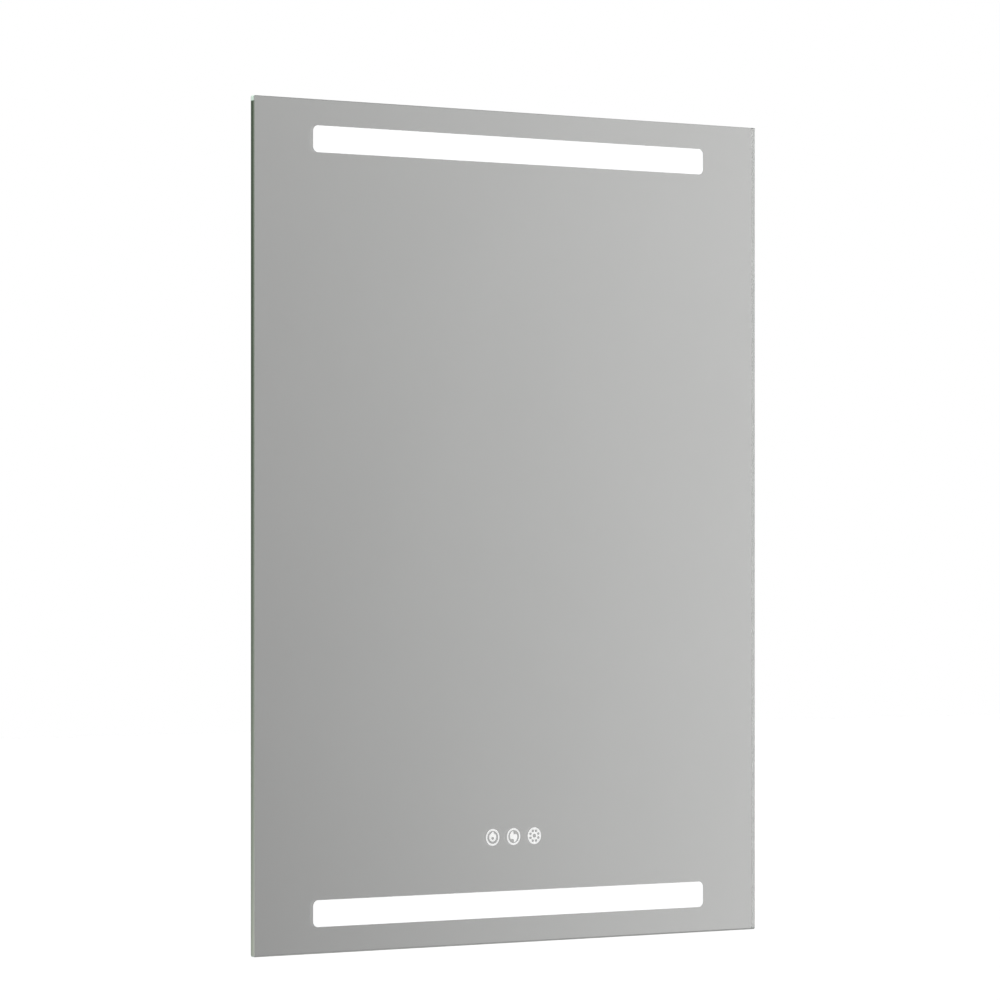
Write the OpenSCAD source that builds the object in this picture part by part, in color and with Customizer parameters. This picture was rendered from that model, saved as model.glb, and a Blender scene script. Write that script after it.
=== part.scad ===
// Frameless lit bathroom mirror with two light bars, touch keys and a demister, hung on a wall rail.
// Millimetres. X runs to the right as seen from the front, Y into the wall, Z up.
// The wall is the plane y = 0, and the origin is the middle of the wall rail's row of screw holes.

/* [Glass] */
// Width of the mirror glass
glass_w = 600; // [560:10:760]
// Height of the mirror glass
glass_h = 800; // [740:10:1000]
// Thickness of the mirror glass
glass_t = 5; // [4:0.5:6]
// Radius of the glass's four corners
corner_r = 1.5; // [1:0.5:6]
// Width of the ground arris along the glass's edges
arris = 0.7; // [0.4:0.1:1]
// Thickness of the silvering with its backing paint
coat_t = 0.3; // [0.2:0.1:0.5]

/* [Light bars] */
// Length of each clear window in the silvering
window_w = 467.5; // [420:2.5:490]
// Height of each clear window
window_h = 25.5; // [20:0.5:32]
// Radius of a window's corners
window_r = 5.5; // [2:0.5:9]
// From a window to the glass's nearest edge
window_edge = 24.5; // [22:0.5:34]
// Depth of the trough behind each window
trough_d = 20; // [17:0.5:22]
// Wall of the trough
trough_wall = 1.4; // [1.2:0.1:2]
// Thickness of the opal diffuser
diffuser_t = 2; // [1.5:0.1:3]
// Thickness of the plug at each end of a trough
cap_t = 2; // [1.5:0.5:3]
// Width of a light board
board_w = 12; // [10:0.5:14]
// Thickness of a light board
board_t = 1; // [0.8:0.1:1.6]
// Spacing of the light-emitting chips
chip_pitch = 17; // [12:0.5:25]

/* [Touch keys] */
// Height of the key row above the glass's bottom edge
key_h = 102; // [90:1:130]
// Spacing of the keys
key_pitch = 25; // [20:1:30]
// Outer radius of a key's lit ring
key_r = 8; // [6:0.5:9]
// Stroke of a key's lit ring
ring_stroke = 1.5; // [1:0.1:2]
// Width of the touch unit's housing
touch_w = 96; // [90:1:120]
// Height of the touch unit's housing
touch_h = 30; // [24:1:40]
// Depth of the touch unit's housing
touch_d = 12; // [11:0.5:16]
// Diameter of a touch spring, across the middle of its wire
spring_dia = 10; // [8:0.5:12]
// Wire of a touch spring
spring_wire = 0.5; // [0.4:0.1:0.8]
// Curls in a touch spring
spring_curls = 4; // [3:1:4]

/* [Frame] */
// Width of the frame's profile
frame_w = 10; // [9:0.5:12]
// Depth of the frame's profile
frame_d = 26.7; // [25:0.1:32]
// Wall of the frame's profile
frame_wall = 1.2; // [1:0.1:1.6]
// Thickness of the foam tape under the frame
tape_t = 1; // [0.5:0.1:1.5]
// Width of the foam tape
tape_w = 8; // [6:0.5:9]
// Length of a corner key's legs
key_leg = 40; // [30:1:60]
// Thickness of the rubber pads that rest on the wall
pad_t = 2; // [1.8:0.1:3]
// Height of a crossbar's profile
crossbar_h = 30; // [28:1:36]
// Wall of a crossbar's profile
crossbar_wall = 1.5; // [1.2:0.1:2]
// Height of the lower crossbar's middle above the glass's bottom edge
low_bar_h = 180; // [165:1:210]

/* [Wall rail] */
// From the rail's screw row up to the glass's top edge
rail_drop = 130; // [120:1:150]
// Length of the wall rail
rail_len = 400; // [380:5:410]
// Thickness of the rail
rail_t = 2; // [1.5:0.1:2.5]
// Gap between the wall and the rail's lip
lip_gap = 4; // [3.6:0.1:5]
// Length of the hanger bar that drops over the rail
hanger_len = 440; // [420:5:450]
// Thickness of the hanger bar
hanger_t = 2; // [1.5:0.1:2.4]
// Spacing of the rail's two slots
slot_pitch = 320; // [300:5:340]
// Length of a slot, end to end
slot_len = 12; // [10:0.5:16]
// Width of the slots and of the round holes
screw_hole_dia = 5.5; // [4.5:0.1:6]
// Spacing of the rail's two round holes
hole_pitch = 120; // [100:5:160]

/* [Electrics] */
// Width of the heating film
film_w = 300; // [240:5:340]
// Height of the heating film
film_h = 270; // [220:5:290]
// Thickness of the heating film
film_t = 0.4; // [0.3:0.1:0.6]
// Runs of the film's heating track
track_runs = 12; // [8:2:16]
// Length of the driver's case
driver_len = 122; // [100:1:126]
// Width of the driver's case
driver_w = 42; // [34:1:46]
// Depth of the driver's case
driver_d = 20; // [16:0.5:21]
// Width of the wiring box
box_w = 110; // [90:1:120]
// Height of the wiring box
box_h = 56; // [50:1:60]
// Depth of the wiring box without its lid
box_d = 20; // [18:0.5:21]
// Wall of the wiring box
box_wall = 2; // [1.6:0.1:2.5]
// Radius of the cable inlet's bore
inlet_r = 4; // [3:0.25:4.5]
// Diameter of the inner leads
lead_dia = 3.2; // [2.6:0.1:3.6]

/* [Hidden] */
$fn = 48;

// Signs on the touch keys
sign_space = 6.5;
drop_r = 4.2;
drop_at = -0.3;
drop_shoulder = [[3.7, 1.5], [2.1, 3], [0.8, 4.5], [0, 5.1]];
spot_r = 1.15;
spot_at = -0.9;
swirl_half = [
    [-0.2, 5.2], [-1.5, 5.3], [-3, 4.3], [-4.1, 2.6], [-4.6, 0.6],
    [-4.4, -1.2], [-3.5, -2.3], [-2, -2.5], [-0.6, -2.1], [0.1, -2.9]
];
sun_middle_r = 1.5;
sun_spot_r = 1.3;
sun_spot_at = 5.1;

// Clearances
seat = 0.3;          // between the hanging mirror and the rail it rests on
slip = 0.15;         // around a piece that slides into a profile
screw_slip = 0.05;   // around a screw's shank
board_slip = 0.05;   // under a board in its seat
lead_slip = 0.3;     // around a lead in a hole

// Depths, measured back from the front face of the glass
depth = glass_t + coat_t + tape_t + frame_d + pad_t;
coat_back = glass_t + coat_t;
frame_front = coat_back + tape_t;
frame_back = frame_front + frame_d;

// Heights, measured up from the screw row of the rail
glass_bottom = rail_drop - glass_h;
glass_mid = glass_bottom + glass_h / 2;
glass_top = rail_drop;
low_window = glass_bottom + window_edge + window_h / 2;
top_window = glass_top - window_edge - window_h / 2;
key_row = glass_bottom + key_h;

// The trough's section
trough_margin = 4.6;      // past the window on each long side
trough_h = window_h + 2 * trough_margin;
trough_end = 6.25;        // past the window at each end, plugs included
trough_len = window_w + 2 * trough_end;
trough_front_lip = 0.8;
trough_rib = 1;
lip_reach = 2;
diffuser_slip = 0.1;
floor_front = trough_d - trough_wall;
hook_t = 0.8;
hook_reach = 1;

// The frame's outline follows the troughs
frame_trough_gap = 0.4;
frame_side_gap = 6;
frame_out_x = trough_len / 2 + frame_side_gap + frame_w;
frame_in_x = frame_out_x - frame_w;
frame_in_top = top_window + trough_h / 2 + frame_trough_gap;
frame_out_top = frame_in_top + frame_w;
frame_in_bottom = low_window - trough_h / 2 - frame_trough_gap;
frame_out_bottom = frame_in_bottom - frame_w;
frame_mid = (frame_out_top + frame_out_bottom) / 2;
frame_web = frame_d / 2 - frame_wall;     // the middle web's front face
frame_chamfer = 0.8;
frame_groove_w = 3;
frame_groove_d = 0.4;
pad_len = 26;
pad_at = 70;              // from the frame's outer corner to a pad's middle

// The rail and the hook that hangs on it, measured out from the wall
rail_below = 16;
ledge_top = 10;
lip_top = 24;
lip_back = lip_gap;
lip_front = lip_gap + rail_t;
hook_play = 0.8;
hook_back = hook_play;
hook_front = lip_gap - hook_play;
hook_low = ledge_top + 1;
hanger_clear = 3;
hanger_back = lip_front + hanger_clear;
hanger_front = hanger_back + hanger_t;
hanger_low = -3;
bridge_low = lip_top + seat;
lift = 20;

// Crossbars
crossbar_back = depth - hanger_front;     // depth of the web's rear face
crossbar_d = crossbar_back - frame_front;
crossbar_flange = 6;
crossbar_gap = 0.3;
crossbar_len = 2 * (frame_in_x - crossbar_gap);
upper_bar_z = hanger_low + crossbar_h / 2 - 1;
lower_bar_z = glass_bottom + low_bar_h;
crossbars_z = [upper_bar_z, lower_bar_z];
web_front = crossbar_back - crossbar_wall;

// Fasteners
screw_r = 1.5;
screw_head_r = 2.7;
screw_head_t = 1.2;
screw_recess = [2.8, 0.6, 0.7];           // length, width and depth of the cross in a screw's head
rivet_r = 2;
rivet_head_r = 3.8;
rivet_head_t = 1.4;
rivet_tail_r = 2.8;
rivet_tail_h = 2;
rivet_x = [-200, -70, 70, 200];
corner_screw_at = 26;     // from the frame's outer corner
corner_screw_len = 7;
bracket_screw_len = 5;
lid_screw_len = 12;
screw_tail = 0.6;         // how far a plate's screw stands through it
bracket_t = 2;
bracket_leg = 20;
bracket_depth = 14;
bracket_z = 20;
bracket_hole_x = frame_in_x - 13;
bracket_hole_d = web_front - 9;

// Where the leads run
lead_r = lead_dia / 2;
lead_lift = 0.4;          // between the mirror's back and a lead
lead_depth = coat_back + lead_lift + lead_r;
lead_x = 205;
notch_w = 9;
notch_d = 5.5;
lead_bend = 12;
lead_sides = 8;
clip_wall = 1.1;
clip_len = 7;
clip_foot = 5;
clip_foot_t = 1.2;
clip_slip = 0.1;
clip_pitch = 90;
clip_clear = 30;          // from a crossbar's middle to the nearest clip
low_clip_clear = 40;

// Gear plate, driver and wiring box
plate_t = 1.2;
plate_w = 330;
plate_h = 68;
plate_lip = 6;
plate_z = -78;
plate_front = frame_front;
gear_floor = plate_front + plate_t;
gear_tape_w = 16;
gear_tape_in = 12;        // from the plate's long edge to the middle of its tape
gear_tape_end = 10;
driver_cover_len = 14;
driver_cover_step = 1;    // how far the end covers lie below the case
driver_base_t = 1.6;
driver_ear = 9;
driver_chamfer = 3;
driver_groove_w = 2.4;
driver_groove_d = 1.2;
driver_full = driver_len + 2 * driver_cover_len;
plate_margin = 2;
driver_x = -plate_w / 2 + driver_full / 2 + driver_ear + plate_margin;
box_margin = 6;
box_x = plate_w / 2 - box_w / 2 - box_margin;
box_r = 4;
lid_t = 2.5;
lid_rim = 1.5;
lid_rim_wall = 1.2;
boss_r = 3.6;
boss_floor = 5;           // solid foot under a boss's screw hole
boss_in = 6.5;            // from the box's sides to a boss's middle
wire_depth = gear_floor + 8;
block_w = 42;
block_h = 16;
block_d = 11;
block_drop = 9;           // below the plate's middle
poles = 3;
pole_pitch = 12;
wire_hole_r = 2;
clamp_hole_r = 2.4;
clamp_screw_h = 3;
clamp_slot = [0.8, 0.9];  // width and depth of the slot in a clamp screw
pole_groove_w = 1.2;
pole_groove_d = 3;

// Heating film
film_gap = 18;
film_z = plate_z - plate_h / 2 - film_gap - film_h / 2;
track_t = 0.15;
track_w = 5;
track_edge = 12;
track_top = 24;           // from the film's top edge, below its tab
track_foot = 16;
film_r = 8;
tab_drop = 3;
track_pitch = floor((film_w - 2 * track_edge - track_w) / (track_runs - 1) * 10) / 10;
tab_w = 30;
tab_h = 14;
tab_t = 3.6;
tab_x = box_x - box_w / 4;

// Touch unit
touch_wall = 1.6;
lens_w = 80;
lens_t = 2;
spring_h = 5;
touch_board_t = 1.6;
touch_board_front = coat_back + lens_t + spring_h;
touch_post_r = 2.5;
touch_post_in = 5;
touch_corner_r = 3;
touch_light = [3.5, 1, 2.8];
touch_lead_offset = 6;
spring_slip = 0.1;        // between a spring's end turns and what they press on

// Places a flat outline, drawn in x and z, as a sheet that starts at a depth behind the glass's front
module sheet(from, thick) {
    translate([0, from + thick - depth, 0]) rotate([90, 0, 0]) linear_extrude(thick) children();
}

// Draws a section in depth and height out to a length along X
module along_x(length) {
    translate([0, -depth, 0]) rotate([90, 0, 90]) linear_extrude(length, center = true) children();
}

// Places a turned piece with its axis along Y, its nose towards the wall, at a depth
module facing_wall(x, at_depth, z) {
    translate([x, at_depth - depth, z]) rotate([-90, 0, 0]) children();
}

module round_rect(w, h, r) {
    square([w - 2 * r, h], center = true);
    square([w, h - 2 * r], center = true);
    for (x = [-1, 1], z = [-1, 1]) translate([x * (w / 2 - r), z * (h / 2 - r)]) circle(r);
}

module stadium(length, width) {
    square([length - width, width], center = true);
    for (s = [-1, 1]) translate([s * (length - width) / 2, 0]) circle(width / 2);
}

// A box given by its lowest and highest corner, with y as a depth
module block(low, high) {
    translate([low[0], low[1] - depth, low[2]]) cube(high - low);
}

// Pan-head screw along +Z with a cross recess: the head's seat is at 0, and the shank runs down from it
module pan_screw(shank) {
    difference() {
        rotate_extrude() polygon([
            [0, -shank], [screw_r * 0.5, -shank], [screw_r, -shank + screw_r * 0.5], [screw_r, 0],
            [screw_head_r, 0], [screw_head_r, screw_head_t * 0.5],
            [screw_head_r * 0.75, screw_head_t], [0, screw_head_t]
        ]);
        for (turn = [0, 90]) rotate(turn) translate([0, 0, screw_head_t])
            cube([screw_recess[0], screw_recess[1], 2 * screw_recess[2]], center = true);
    }
}

/* Glass and its silvering */

// Section of a sheet whose four edges are ground to an arris
function arris_section(span) = [
    [0, span / 2 - arris], [arris, span / 2], [glass_t - arris, span / 2], [glass_t, span / 2 - arris],
    [glass_t, arris - span / 2], [glass_t - arris, -span / 2], [arris, -span / 2], [0, arris - span / 2]
];

module mirror_glass() {
    color([0.62, 0.72, 0.66]) intersection() {
        sheet(0, glass_t) translate([0, glass_mid]) round_rect(glass_w, glass_h, corner_r);
        along_x(glass_w) translate([0, glass_mid]) polygon(arris_section(glass_h));
        translate([0, 0, glass_bottom]) linear_extrude(glass_h)
            polygon([for (p = arris_section(glass_w)) [p[1], p[0] - depth]]);
    }
}

module silver_coating() {
    color([0.7, 0.7, 0.69]) sheet(glass_t, coat_t) difference() {
        translate([0, glass_mid]) round_rect(glass_w - 2 * arris, glass_h - 2 * arris, corner_r);
        for (z = [low_window, top_window]) translate([0, z]) round_rect(window_w, window_h, window_r);
        for (i = [-1:1]) translate([i * key_pitch, key_row]) {
            difference() {
                circle(key_r);
                circle(key_r - ring_stroke);
            }
            scale((key_r - ring_stroke) / sign_space) key_sign(i);
        }
    }
}

// What is cleared inside a key's ring, drawn for a ring with an inner radius of sign_space
module key_sign(i) {
    if (i < 0) drop_sign();
    if (i == 0) swirl_sign();
    if (i > 0) sun_sign();
}

// A drop with a spot low in it
module drop_sign() {
    below_tip = len(drop_shoulder) - 2;
    left_side = [for (i = [below_tip:-1:0]) [-drop_shoulder[i][0], drop_shoulder[i][1]]];
    difference() {
        union() {
            translate([0, drop_at]) circle(drop_r);
            polygon(concat(drop_shoulder, left_side));
        }
        translate([0, spot_at]) circle(spot_r);
    }
}

// Two opposed strokes joined by a slanting band, the same turned half round
module swirl_sign() {
    polygon([for (s = [1, -1], p = swirl_half) s * p]);
}

// A clear disc that leaves a spot in the middle and eight round it
module sun_sign() {
    difference() {
        circle(sign_space + ring_stroke / 2);
        circle(sun_middle_r);
        for (turn = [22.5:45:360]) rotate(turn) translate([sun_spot_at, 0]) circle(sun_spot_r);
    }
}

/* Frame */

// Section of the frame: depth along the first axis, the outer face at zero on the second
module frame_section() {
    room_w = frame_w - 2 * frame_wall;
    difference() {
        polygon([
            [0, 0], [frame_d - frame_chamfer, 0], [frame_d, -frame_chamfer],
            [frame_d, -frame_w], [0, -frame_w]
        ]);
        translate([frame_wall, -frame_w + frame_wall]) square([frame_web - frame_wall, room_w]);
        translate([frame_web + frame_wall, -frame_w + frame_wall])
            square([frame_d - frame_web - 2 * frame_wall, room_w]);
        translate([frame_web - frame_groove_w / 2, -frame_groove_d])
            square([frame_groove_w, frame_groove_d + 1]);
    }
}

// A bar along X with its outer face up at z = 0 and mitred ends, drilled for its corner screws
module mitred_bar(length) {
    difference() {
        intersection() {
            rotate([90, 0, 90]) linear_extrude(length, center = true) frame_section();
            translate([0, frame_d, 0]) rotate([90, 0, 0]) linear_extrude(frame_d) polygon([
                [-length / 2, 0], [length / 2, 0],
                [length / 2 - frame_w, -frame_w], [frame_w - length / 2, -frame_w]
            ]);
        }
        for (s = [-1, 1]) translate([s * (length / 2 - corner_screw_at), frame_d, -frame_w / 2])
            rotate([90, 0, 0]) cylinder(r = screw_r + screw_slip, h = 2 * frame_wall, center = true);
    }
}

frame_colour = [0.72, 0.73, 0.74];

module frame_top() {
    color(frame_colour) translate([0, frame_front - depth, frame_out_top])
        mitred_bar(2 * frame_out_x);
}

module frame_bottom() {
    color(frame_colour) translate([0, frame_front - depth, frame_out_bottom])
        rotate([0, 180, 0]) mitred_bar(2 * frame_out_x);
}

// A side bar also has the holes for the screws of the crossbars' brackets
module frame_side(side) {
    color(frame_colour) difference() {
        translate([side * frame_out_x, frame_front - depth, frame_mid])
            rotate([0, side * 90, 0]) mitred_bar(frame_out_top - frame_out_bottom);
        for (z = crossbars_z) translate([side * frame_in_x, bracket_hole_d - depth, z])
            rotate([0, 90, 0]) cylinder(r = screw_r + screw_slip, h = 3 * frame_wall, center = true);
    }
}

module frame_left() frame_side(-1);
module frame_right() frame_side(1);

module frame_tape() {
    inset = (frame_w - tape_w) / 2;
    color([0.93, 0.93, 0.91]) sheet(coat_back, tape_t) difference() {
        translate([0, frame_mid])
            square([2 * (frame_out_x - inset), frame_out_top - frame_out_bottom - 2 * inset], center = true);
        translate([0, frame_mid]) square([
            2 * (frame_out_x - inset - tape_w),
            frame_out_top - frame_out_bottom - 2 * inset - 2 * tape_w
        ], center = true);
    }
}

// L-shaped keys in the frame's rear chamber hold each mitre shut
module corner_keys() {
    thick = frame_w - 2 * frame_wall - 2 * slip;
    at = frame_wall + slip;
    front = frame_front + frame_web + frame_wall + slip;
    back = frame_back - frame_wall - slip;
    color([0.55, 0.56, 0.58])
        for (x = [-1, 1], z = [-1, 1]) difference() {
            corner = [x * frame_out_x, z > 0 ? frame_out_top : frame_out_bottom];
            sheet(front, back - front) translate(corner) scale_sign(-x, -z) union() {
                translate([at, at]) square([key_leg - at, thick]);
                translate([at, at]) square([thick, key_leg - at]);
            }
            for (p = [[corner_screw_at, frame_w / 2], [frame_w / 2, corner_screw_at]])
                facing_wall(corner[0] - x * p[0], back, corner[1] - z * p[1])
                    cylinder(r = screw_r + screw_slip, h = 4 * thick, center = true);
        }
}

// Flips an outline into one of the four quarters
module scale_sign(sx, sz) {
    mirror([sx < 0 ? 1 : 0, 0]) mirror([0, sz < 0 ? 1 : 0]) children();
}

module corner_screws() {
    color([0.6, 0.6, 0.6])
        for (x = [-1, 1], z = [-1, 1], p = [[corner_screw_at, frame_w / 2], [frame_w / 2, corner_screw_at]])
            facing_wall(
                x * (frame_out_x - p[0]), frame_back,
                (z > 0 ? frame_out_top : frame_out_bottom) - z * p[1]
            ) pan_screw(corner_screw_len);
}

// Rubber pads on the side bars keep the frame off the wall
module wall_pads() {
    color([0.2, 0.2, 0.2])
        for (x = [-1, 1], z = [frame_out_bottom + pad_at, frame_out_top - pad_at])
            sheet(frame_back, pad_t) translate([x * (frame_out_x - frame_w / 2), z])
                rotate(90) stadium(pad_len, frame_w - 2 * frame_chamfer);
}

/* Crossbars, brackets and the hanger */

module crossbar_section() {
    outer = crossbar_h / 2;
    inner = outer - crossbar_wall;
    difference() {
        polygon([
            [0, -outer], [crossbar_d - 1, -outer], [crossbar_d, 1 - outer],
            [crossbar_d, outer - 1], [crossbar_d - 1, outer], [0, outer]
        ]);
        translate([crossbar_wall, -inner]) square([crossbar_d - 2 * crossbar_wall, 2 * inner]);
        translate([-1, crossbar_flange - outer])
            square([crossbar_wall + 2, crossbar_h - 2 * crossbar_flange]);
    }
}

module crossbar(z) {
    difference() {
        along_x(crossbar_len) translate([frame_front, z]) crossbar_section();
        for (x = [-1, 1]) {
            block(
                [x * lead_x - notch_w / 2, frame_front - 1, z - crossbar_h],
                [x * lead_x + notch_w / 2, frame_front + notch_d, z + crossbar_h]
            );
            facing_wall(x * bracket_hole_x, web_front, z)
                cylinder(r = screw_r + screw_slip, h = 4 * crossbar_wall, center = true);
        }
    }
}

module upper_crossbar() {
    color([0.7, 0.71, 0.72]) difference() {
        crossbar(upper_bar_z);
        for (x = rivet_x) facing_wall(x, web_front, upper_bar_z)
            cylinder(r = rivet_r + screw_slip, h = 4 * crossbar_wall, center = true);
    }
}

module lower_crossbar() {
    color([0.7, 0.71, 0.72]) crossbar(lower_bar_z);
}

// Tape under both flanges of each crossbar, left out where the leads pass
module crossbar_tape() {
    strip = crossbar_flange - 1;
    color([0.93, 0.93, 0.91]) sheet(coat_back, tape_t) difference() {
        for (z = crossbars_z, s = [-1, 1])
            translate([0, z + s * (crossbar_h - crossbar_flange) / 2])
                square([crossbar_len, strip], center = true);
        for (x = [-1, 1]) translate([x * lead_x, lower_bar_z])
            square([notch_w, 3 * glass_h], center = true);
    }
}

module crossbar_brackets() {
    color([0.62, 0.63, 0.66])
        for (x = [-1, 1], z = crossbars_z) difference() {
            along = [x * (frame_in_x - bracket_leg), x * frame_in_x];
            across = [x * (frame_in_x - bracket_t), x * frame_in_x];
            union() {
                block(
                    [min(along), web_front - bracket_t, z - bracket_z / 2],
                    [max(along), web_front, z + bracket_z / 2]
                );
                block(
                    [min(across), web_front - bracket_depth, z - bracket_z / 2],
                    [max(across), web_front, z + bracket_z / 2]
                );
            }
            facing_wall(x * bracket_hole_x, web_front, z)
                cylinder(r = screw_r + screw_slip, h = 3 * bracket_t, center = true);
            translate([x * frame_in_x, bracket_hole_d - depth, z])
                rotate([0, 90, 0]) cylinder(r = screw_r + screw_slip, h = 3 * bracket_t, center = true);
        }
}

module bracket_screws() {
    color([0.6, 0.6, 0.6]) for (x = [-1, 1], z = crossbars_z) {
        facing_wall(x * bracket_hole_x, crossbar_back, z) pan_screw(bracket_screw_len);
        translate([x * (frame_in_x - bracket_t), bracket_hole_d - depth, z])
            rotate([0, -90 * x, 0]) pan_screw(bracket_screw_len);
    }
}

// The hook drops between the wall and the rail's lip, and its bridge rests on the lip
module hanger_bar() {
    top = bridge_low + hanger_t;
    color([0.75, 0.76, 0.77]) difference() {
        rotate([90, 0, 90]) linear_extrude(hanger_len, center = true) polygon([
            [-hanger_front, hanger_low], [-hanger_back, hanger_low],
            [-hanger_back, bridge_low], [-hook_front, bridge_low],
            [-hook_front, hook_low + 1], [-hook_front + 1, hook_low], [-hook_back, hook_low],
            [-hook_back, top - 1], [-hook_back - 1, top], [-hanger_front, top]
        ]);
        for (x = rivet_x) translate([x, -hanger_back, upper_bar_z]) rotate([90, 0, 0])
            cylinder(r = rivet_r + screw_slip, h = 3 * hanger_t, center = true);
    }
}

module hanger_rivets() {
    grip = hanger_t + crossbar_wall;
    color([0.78, 0.78, 0.79]) for (x = rivet_x) facing_wall(x, depth - hanger_back, upper_bar_z)
        rotate_extrude() polygon([
            [0, -grip - rivet_tail_h], [rivet_tail_r * 0.6, -grip - rivet_tail_h],
            [rivet_tail_r, -grip - rivet_tail_h / 2], [rivet_tail_r, -grip],
            [rivet_r, -grip], [rivet_r, 0], [rivet_head_r, 0],
            [rivet_head_r * 0.8, rivet_head_t * 0.7], [rivet_head_r * 0.4, rivet_head_t], [0, rivet_head_t]
        ]);
}

module wall_rail() {
    color([0.75, 0.76, 0.77]) difference() {
        rotate([90, 0, 90]) linear_extrude(rail_len, center = true) polygon([
            [0, -rail_below], [-rail_t + 0.5, -rail_below], [-rail_t, -rail_below + 0.5],
            [-rail_t, ledge_top - rail_t], [-lip_front, ledge_top - rail_t],
            [-lip_front, lip_top - 0.5], [-lip_front + 0.5, lip_top], [-lip_back - 0.5, lip_top],
            [-lip_back, lip_top - 0.5], [-lip_back, ledge_top], [0, ledge_top]
        ]);
        for (x = [-1, 1]) {
            translate([x * slot_pitch / 2, 1, 0]) rotate([90, 0, 0])
                linear_extrude(2 * rail_t) stadium(slot_len, screw_hole_dia);
            translate([x * hole_pitch / 2, 1, 0]) rotate([90, 0, 0])
                cylinder(r = screw_hole_dia / 2, h = 2 * rail_t);
        }
    }
}

/* Light bars */

// Section of a trough, depth along the first axis: lips and ribs hold the diffuser, hooks hold the board
module trough_section() {
    outer = trough_h / 2;
    inner = outer - trough_wall;
    rib_at = trough_front_lip + diffuser_t + 2 * diffuser_slip;
    board_room = board_t + 2 * board_slip;
    difference() {
        translate([0, -outer]) square([trough_d, trough_h]);
        translate([-1, -inner + lip_reach]) square([floor_front + 1, 2 * (inner - lip_reach)]);
        translate([trough_front_lip, -inner]) square([rib_at - trough_front_lip, 2 * inner]);
        translate([rib_at + trough_rib, -inner])
            square([floor_front - rib_at - trough_rib, 2 * inner]);
    }
    for (s = [-1, 1]) mirror([0, s < 0 ? 1 : 0]) {
        translate([floor_front - board_room - hook_t, board_w / 2 + board_slip])
            square([board_room + hook_t + 0.1, hook_t]);
        translate([floor_front - board_room - hook_t, board_w / 2 - hook_reach])
            square([hook_t, hook_reach + hook_t]);
    }
}

// side is 1 for the upper trough, whose lead enters from below, and -1 for the lower one
module light_trough(z, side, hole_x) {
    color([0.9, 0.9, 0.89]) difference() {
        along_x(trough_len - 2 * cap_t) translate([coat_back, z]) trough_section();
        translate([hole_x, trough_hole_depth - depth, z - side * trough_h / 2])
            cylinder(r = lead_r + lead_slip, h = 4 * trough_wall, center = true);
    }
}

trough_hole_d = 9;        // from the silvering to the middle of the lead's hole
trough_hole_depth = coat_back + trough_hole_d;
low_lead_x = -150;

module upper_light_trough() light_trough(top_window, 1, lead_x);
module lower_light_trough() light_trough(low_window, -1, low_lead_x);

module diffuser(z) {
    width = trough_h - 2 * trough_wall - 2 * slip;
    front = coat_back + trough_front_lip + diffuser_slip;
    color([0.98, 0.98, 0.97]) block(
        [-trough_len / 2 + cap_t + slip, front, z - width / 2],
        [trough_len / 2 - cap_t - slip, front + diffuser_t, z + width / 2]
    );
}

module upper_diffuser() diffuser(top_window);
module lower_diffuser() diffuser(low_window);

light_board_back = coat_back + floor_front - board_slip;
board_end_gap = 4;        // from a plug to the light board

module light_board(z) {
    half = trough_len / 2 - cap_t - board_end_gap;
    color([0.95, 0.95, 0.93]) block(
        [-half, light_board_back - board_t, z - board_w / 2], [half, light_board_back, z + board_w / 2]
    );
}

module upper_light_board() light_board(top_window);
module lower_light_board() light_board(low_window);

module light_chips(z) {
    chip = [3.5, 0.8, 2.8];
    per_side = floor((window_w / 2 - chip[0]) / chip_pitch - 0.5);
    color([1, 0.95, 0.6]) for (i = [-per_side - 0.5:per_side + 0.5])
        translate([i * chip_pitch, light_board_back - board_t - chip[1] / 2 - depth, z])
            cube(chip, center = true);
}

module upper_light_chips() light_chips(top_window);
module lower_light_chips() light_chips(low_window);

// A plug closes each end of a trough: a plate, and a spigot between the diffuser and the board
module trough_plugs(z) {
    spigot_front = coat_back + trough_front_lip + diffuser_t + 2 * diffuser_slip + trough_rib + slip;
    spigot_back = light_board_back - board_t - hook_t - 2 * slip;
    half = trough_h / 2 - trough_wall - slip;
    spigot_len = 3.5;
    color([0.86, 0.86, 0.86]) for (x = [-1, 1]) {
        outer = x * trough_len / 2;
        inner = outer - x * cap_t;
        block(
            [min(outer, inner), coat_back, z - trough_h / 2],
            [max(outer, inner), coat_back + trough_d, z + trough_h / 2]
        );
        block(
            [min(inner, inner - x * spigot_len), spigot_front, z - half],
            [max(inner, inner - x * spigot_len), spigot_back, z + half]
        );
    }
}

module upper_trough_plugs() trough_plugs(top_window);
module lower_trough_plugs() trough_plugs(low_window);

/* Touch unit behind the keys */

module touch_housing() {
    inner_w = touch_w - 2 * touch_wall;
    inner_h = touch_h - 2 * touch_wall;
    floor_at = coat_back + touch_d - touch_wall;
    posts_from = touch_board_front + touch_board_t;
    color([0.92, 0.92, 0.9]) difference() {
        union() {
            difference() {
                sheet(coat_back, touch_d) translate([0, key_row])
                    round_rect(touch_w, touch_h, touch_corner_r);
                sheet(coat_back - 1, touch_d - touch_wall + 1) translate([0, key_row])
                    round_rect(inner_w, inner_h, touch_corner_r - touch_wall);
            }
            for (x = [-1, 1], z = [-1, 1]) sheet(posts_from, floor_at - posts_from + touch_wall / 2)
                translate([x * (inner_w / 2 - touch_post_in), key_row + z * (inner_h / 2 - touch_post_in)])
                    circle(touch_post_r);
        }
        for (z = [-1, 1]) translate([-touch_w / 2, lead_depth - depth, key_row + z * touch_lead_offset])
            rotate([0, 90, 0]) cylinder(r = lead_r + lead_slip, h = 4 * touch_wall, center = true);
        translate([touch_w / 2, lead_depth - depth, key_row])
            rotate([0, 90, 0]) cylinder(r = lead_r + lead_slip, h = 4 * touch_wall, center = true);
    }
}

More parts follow.
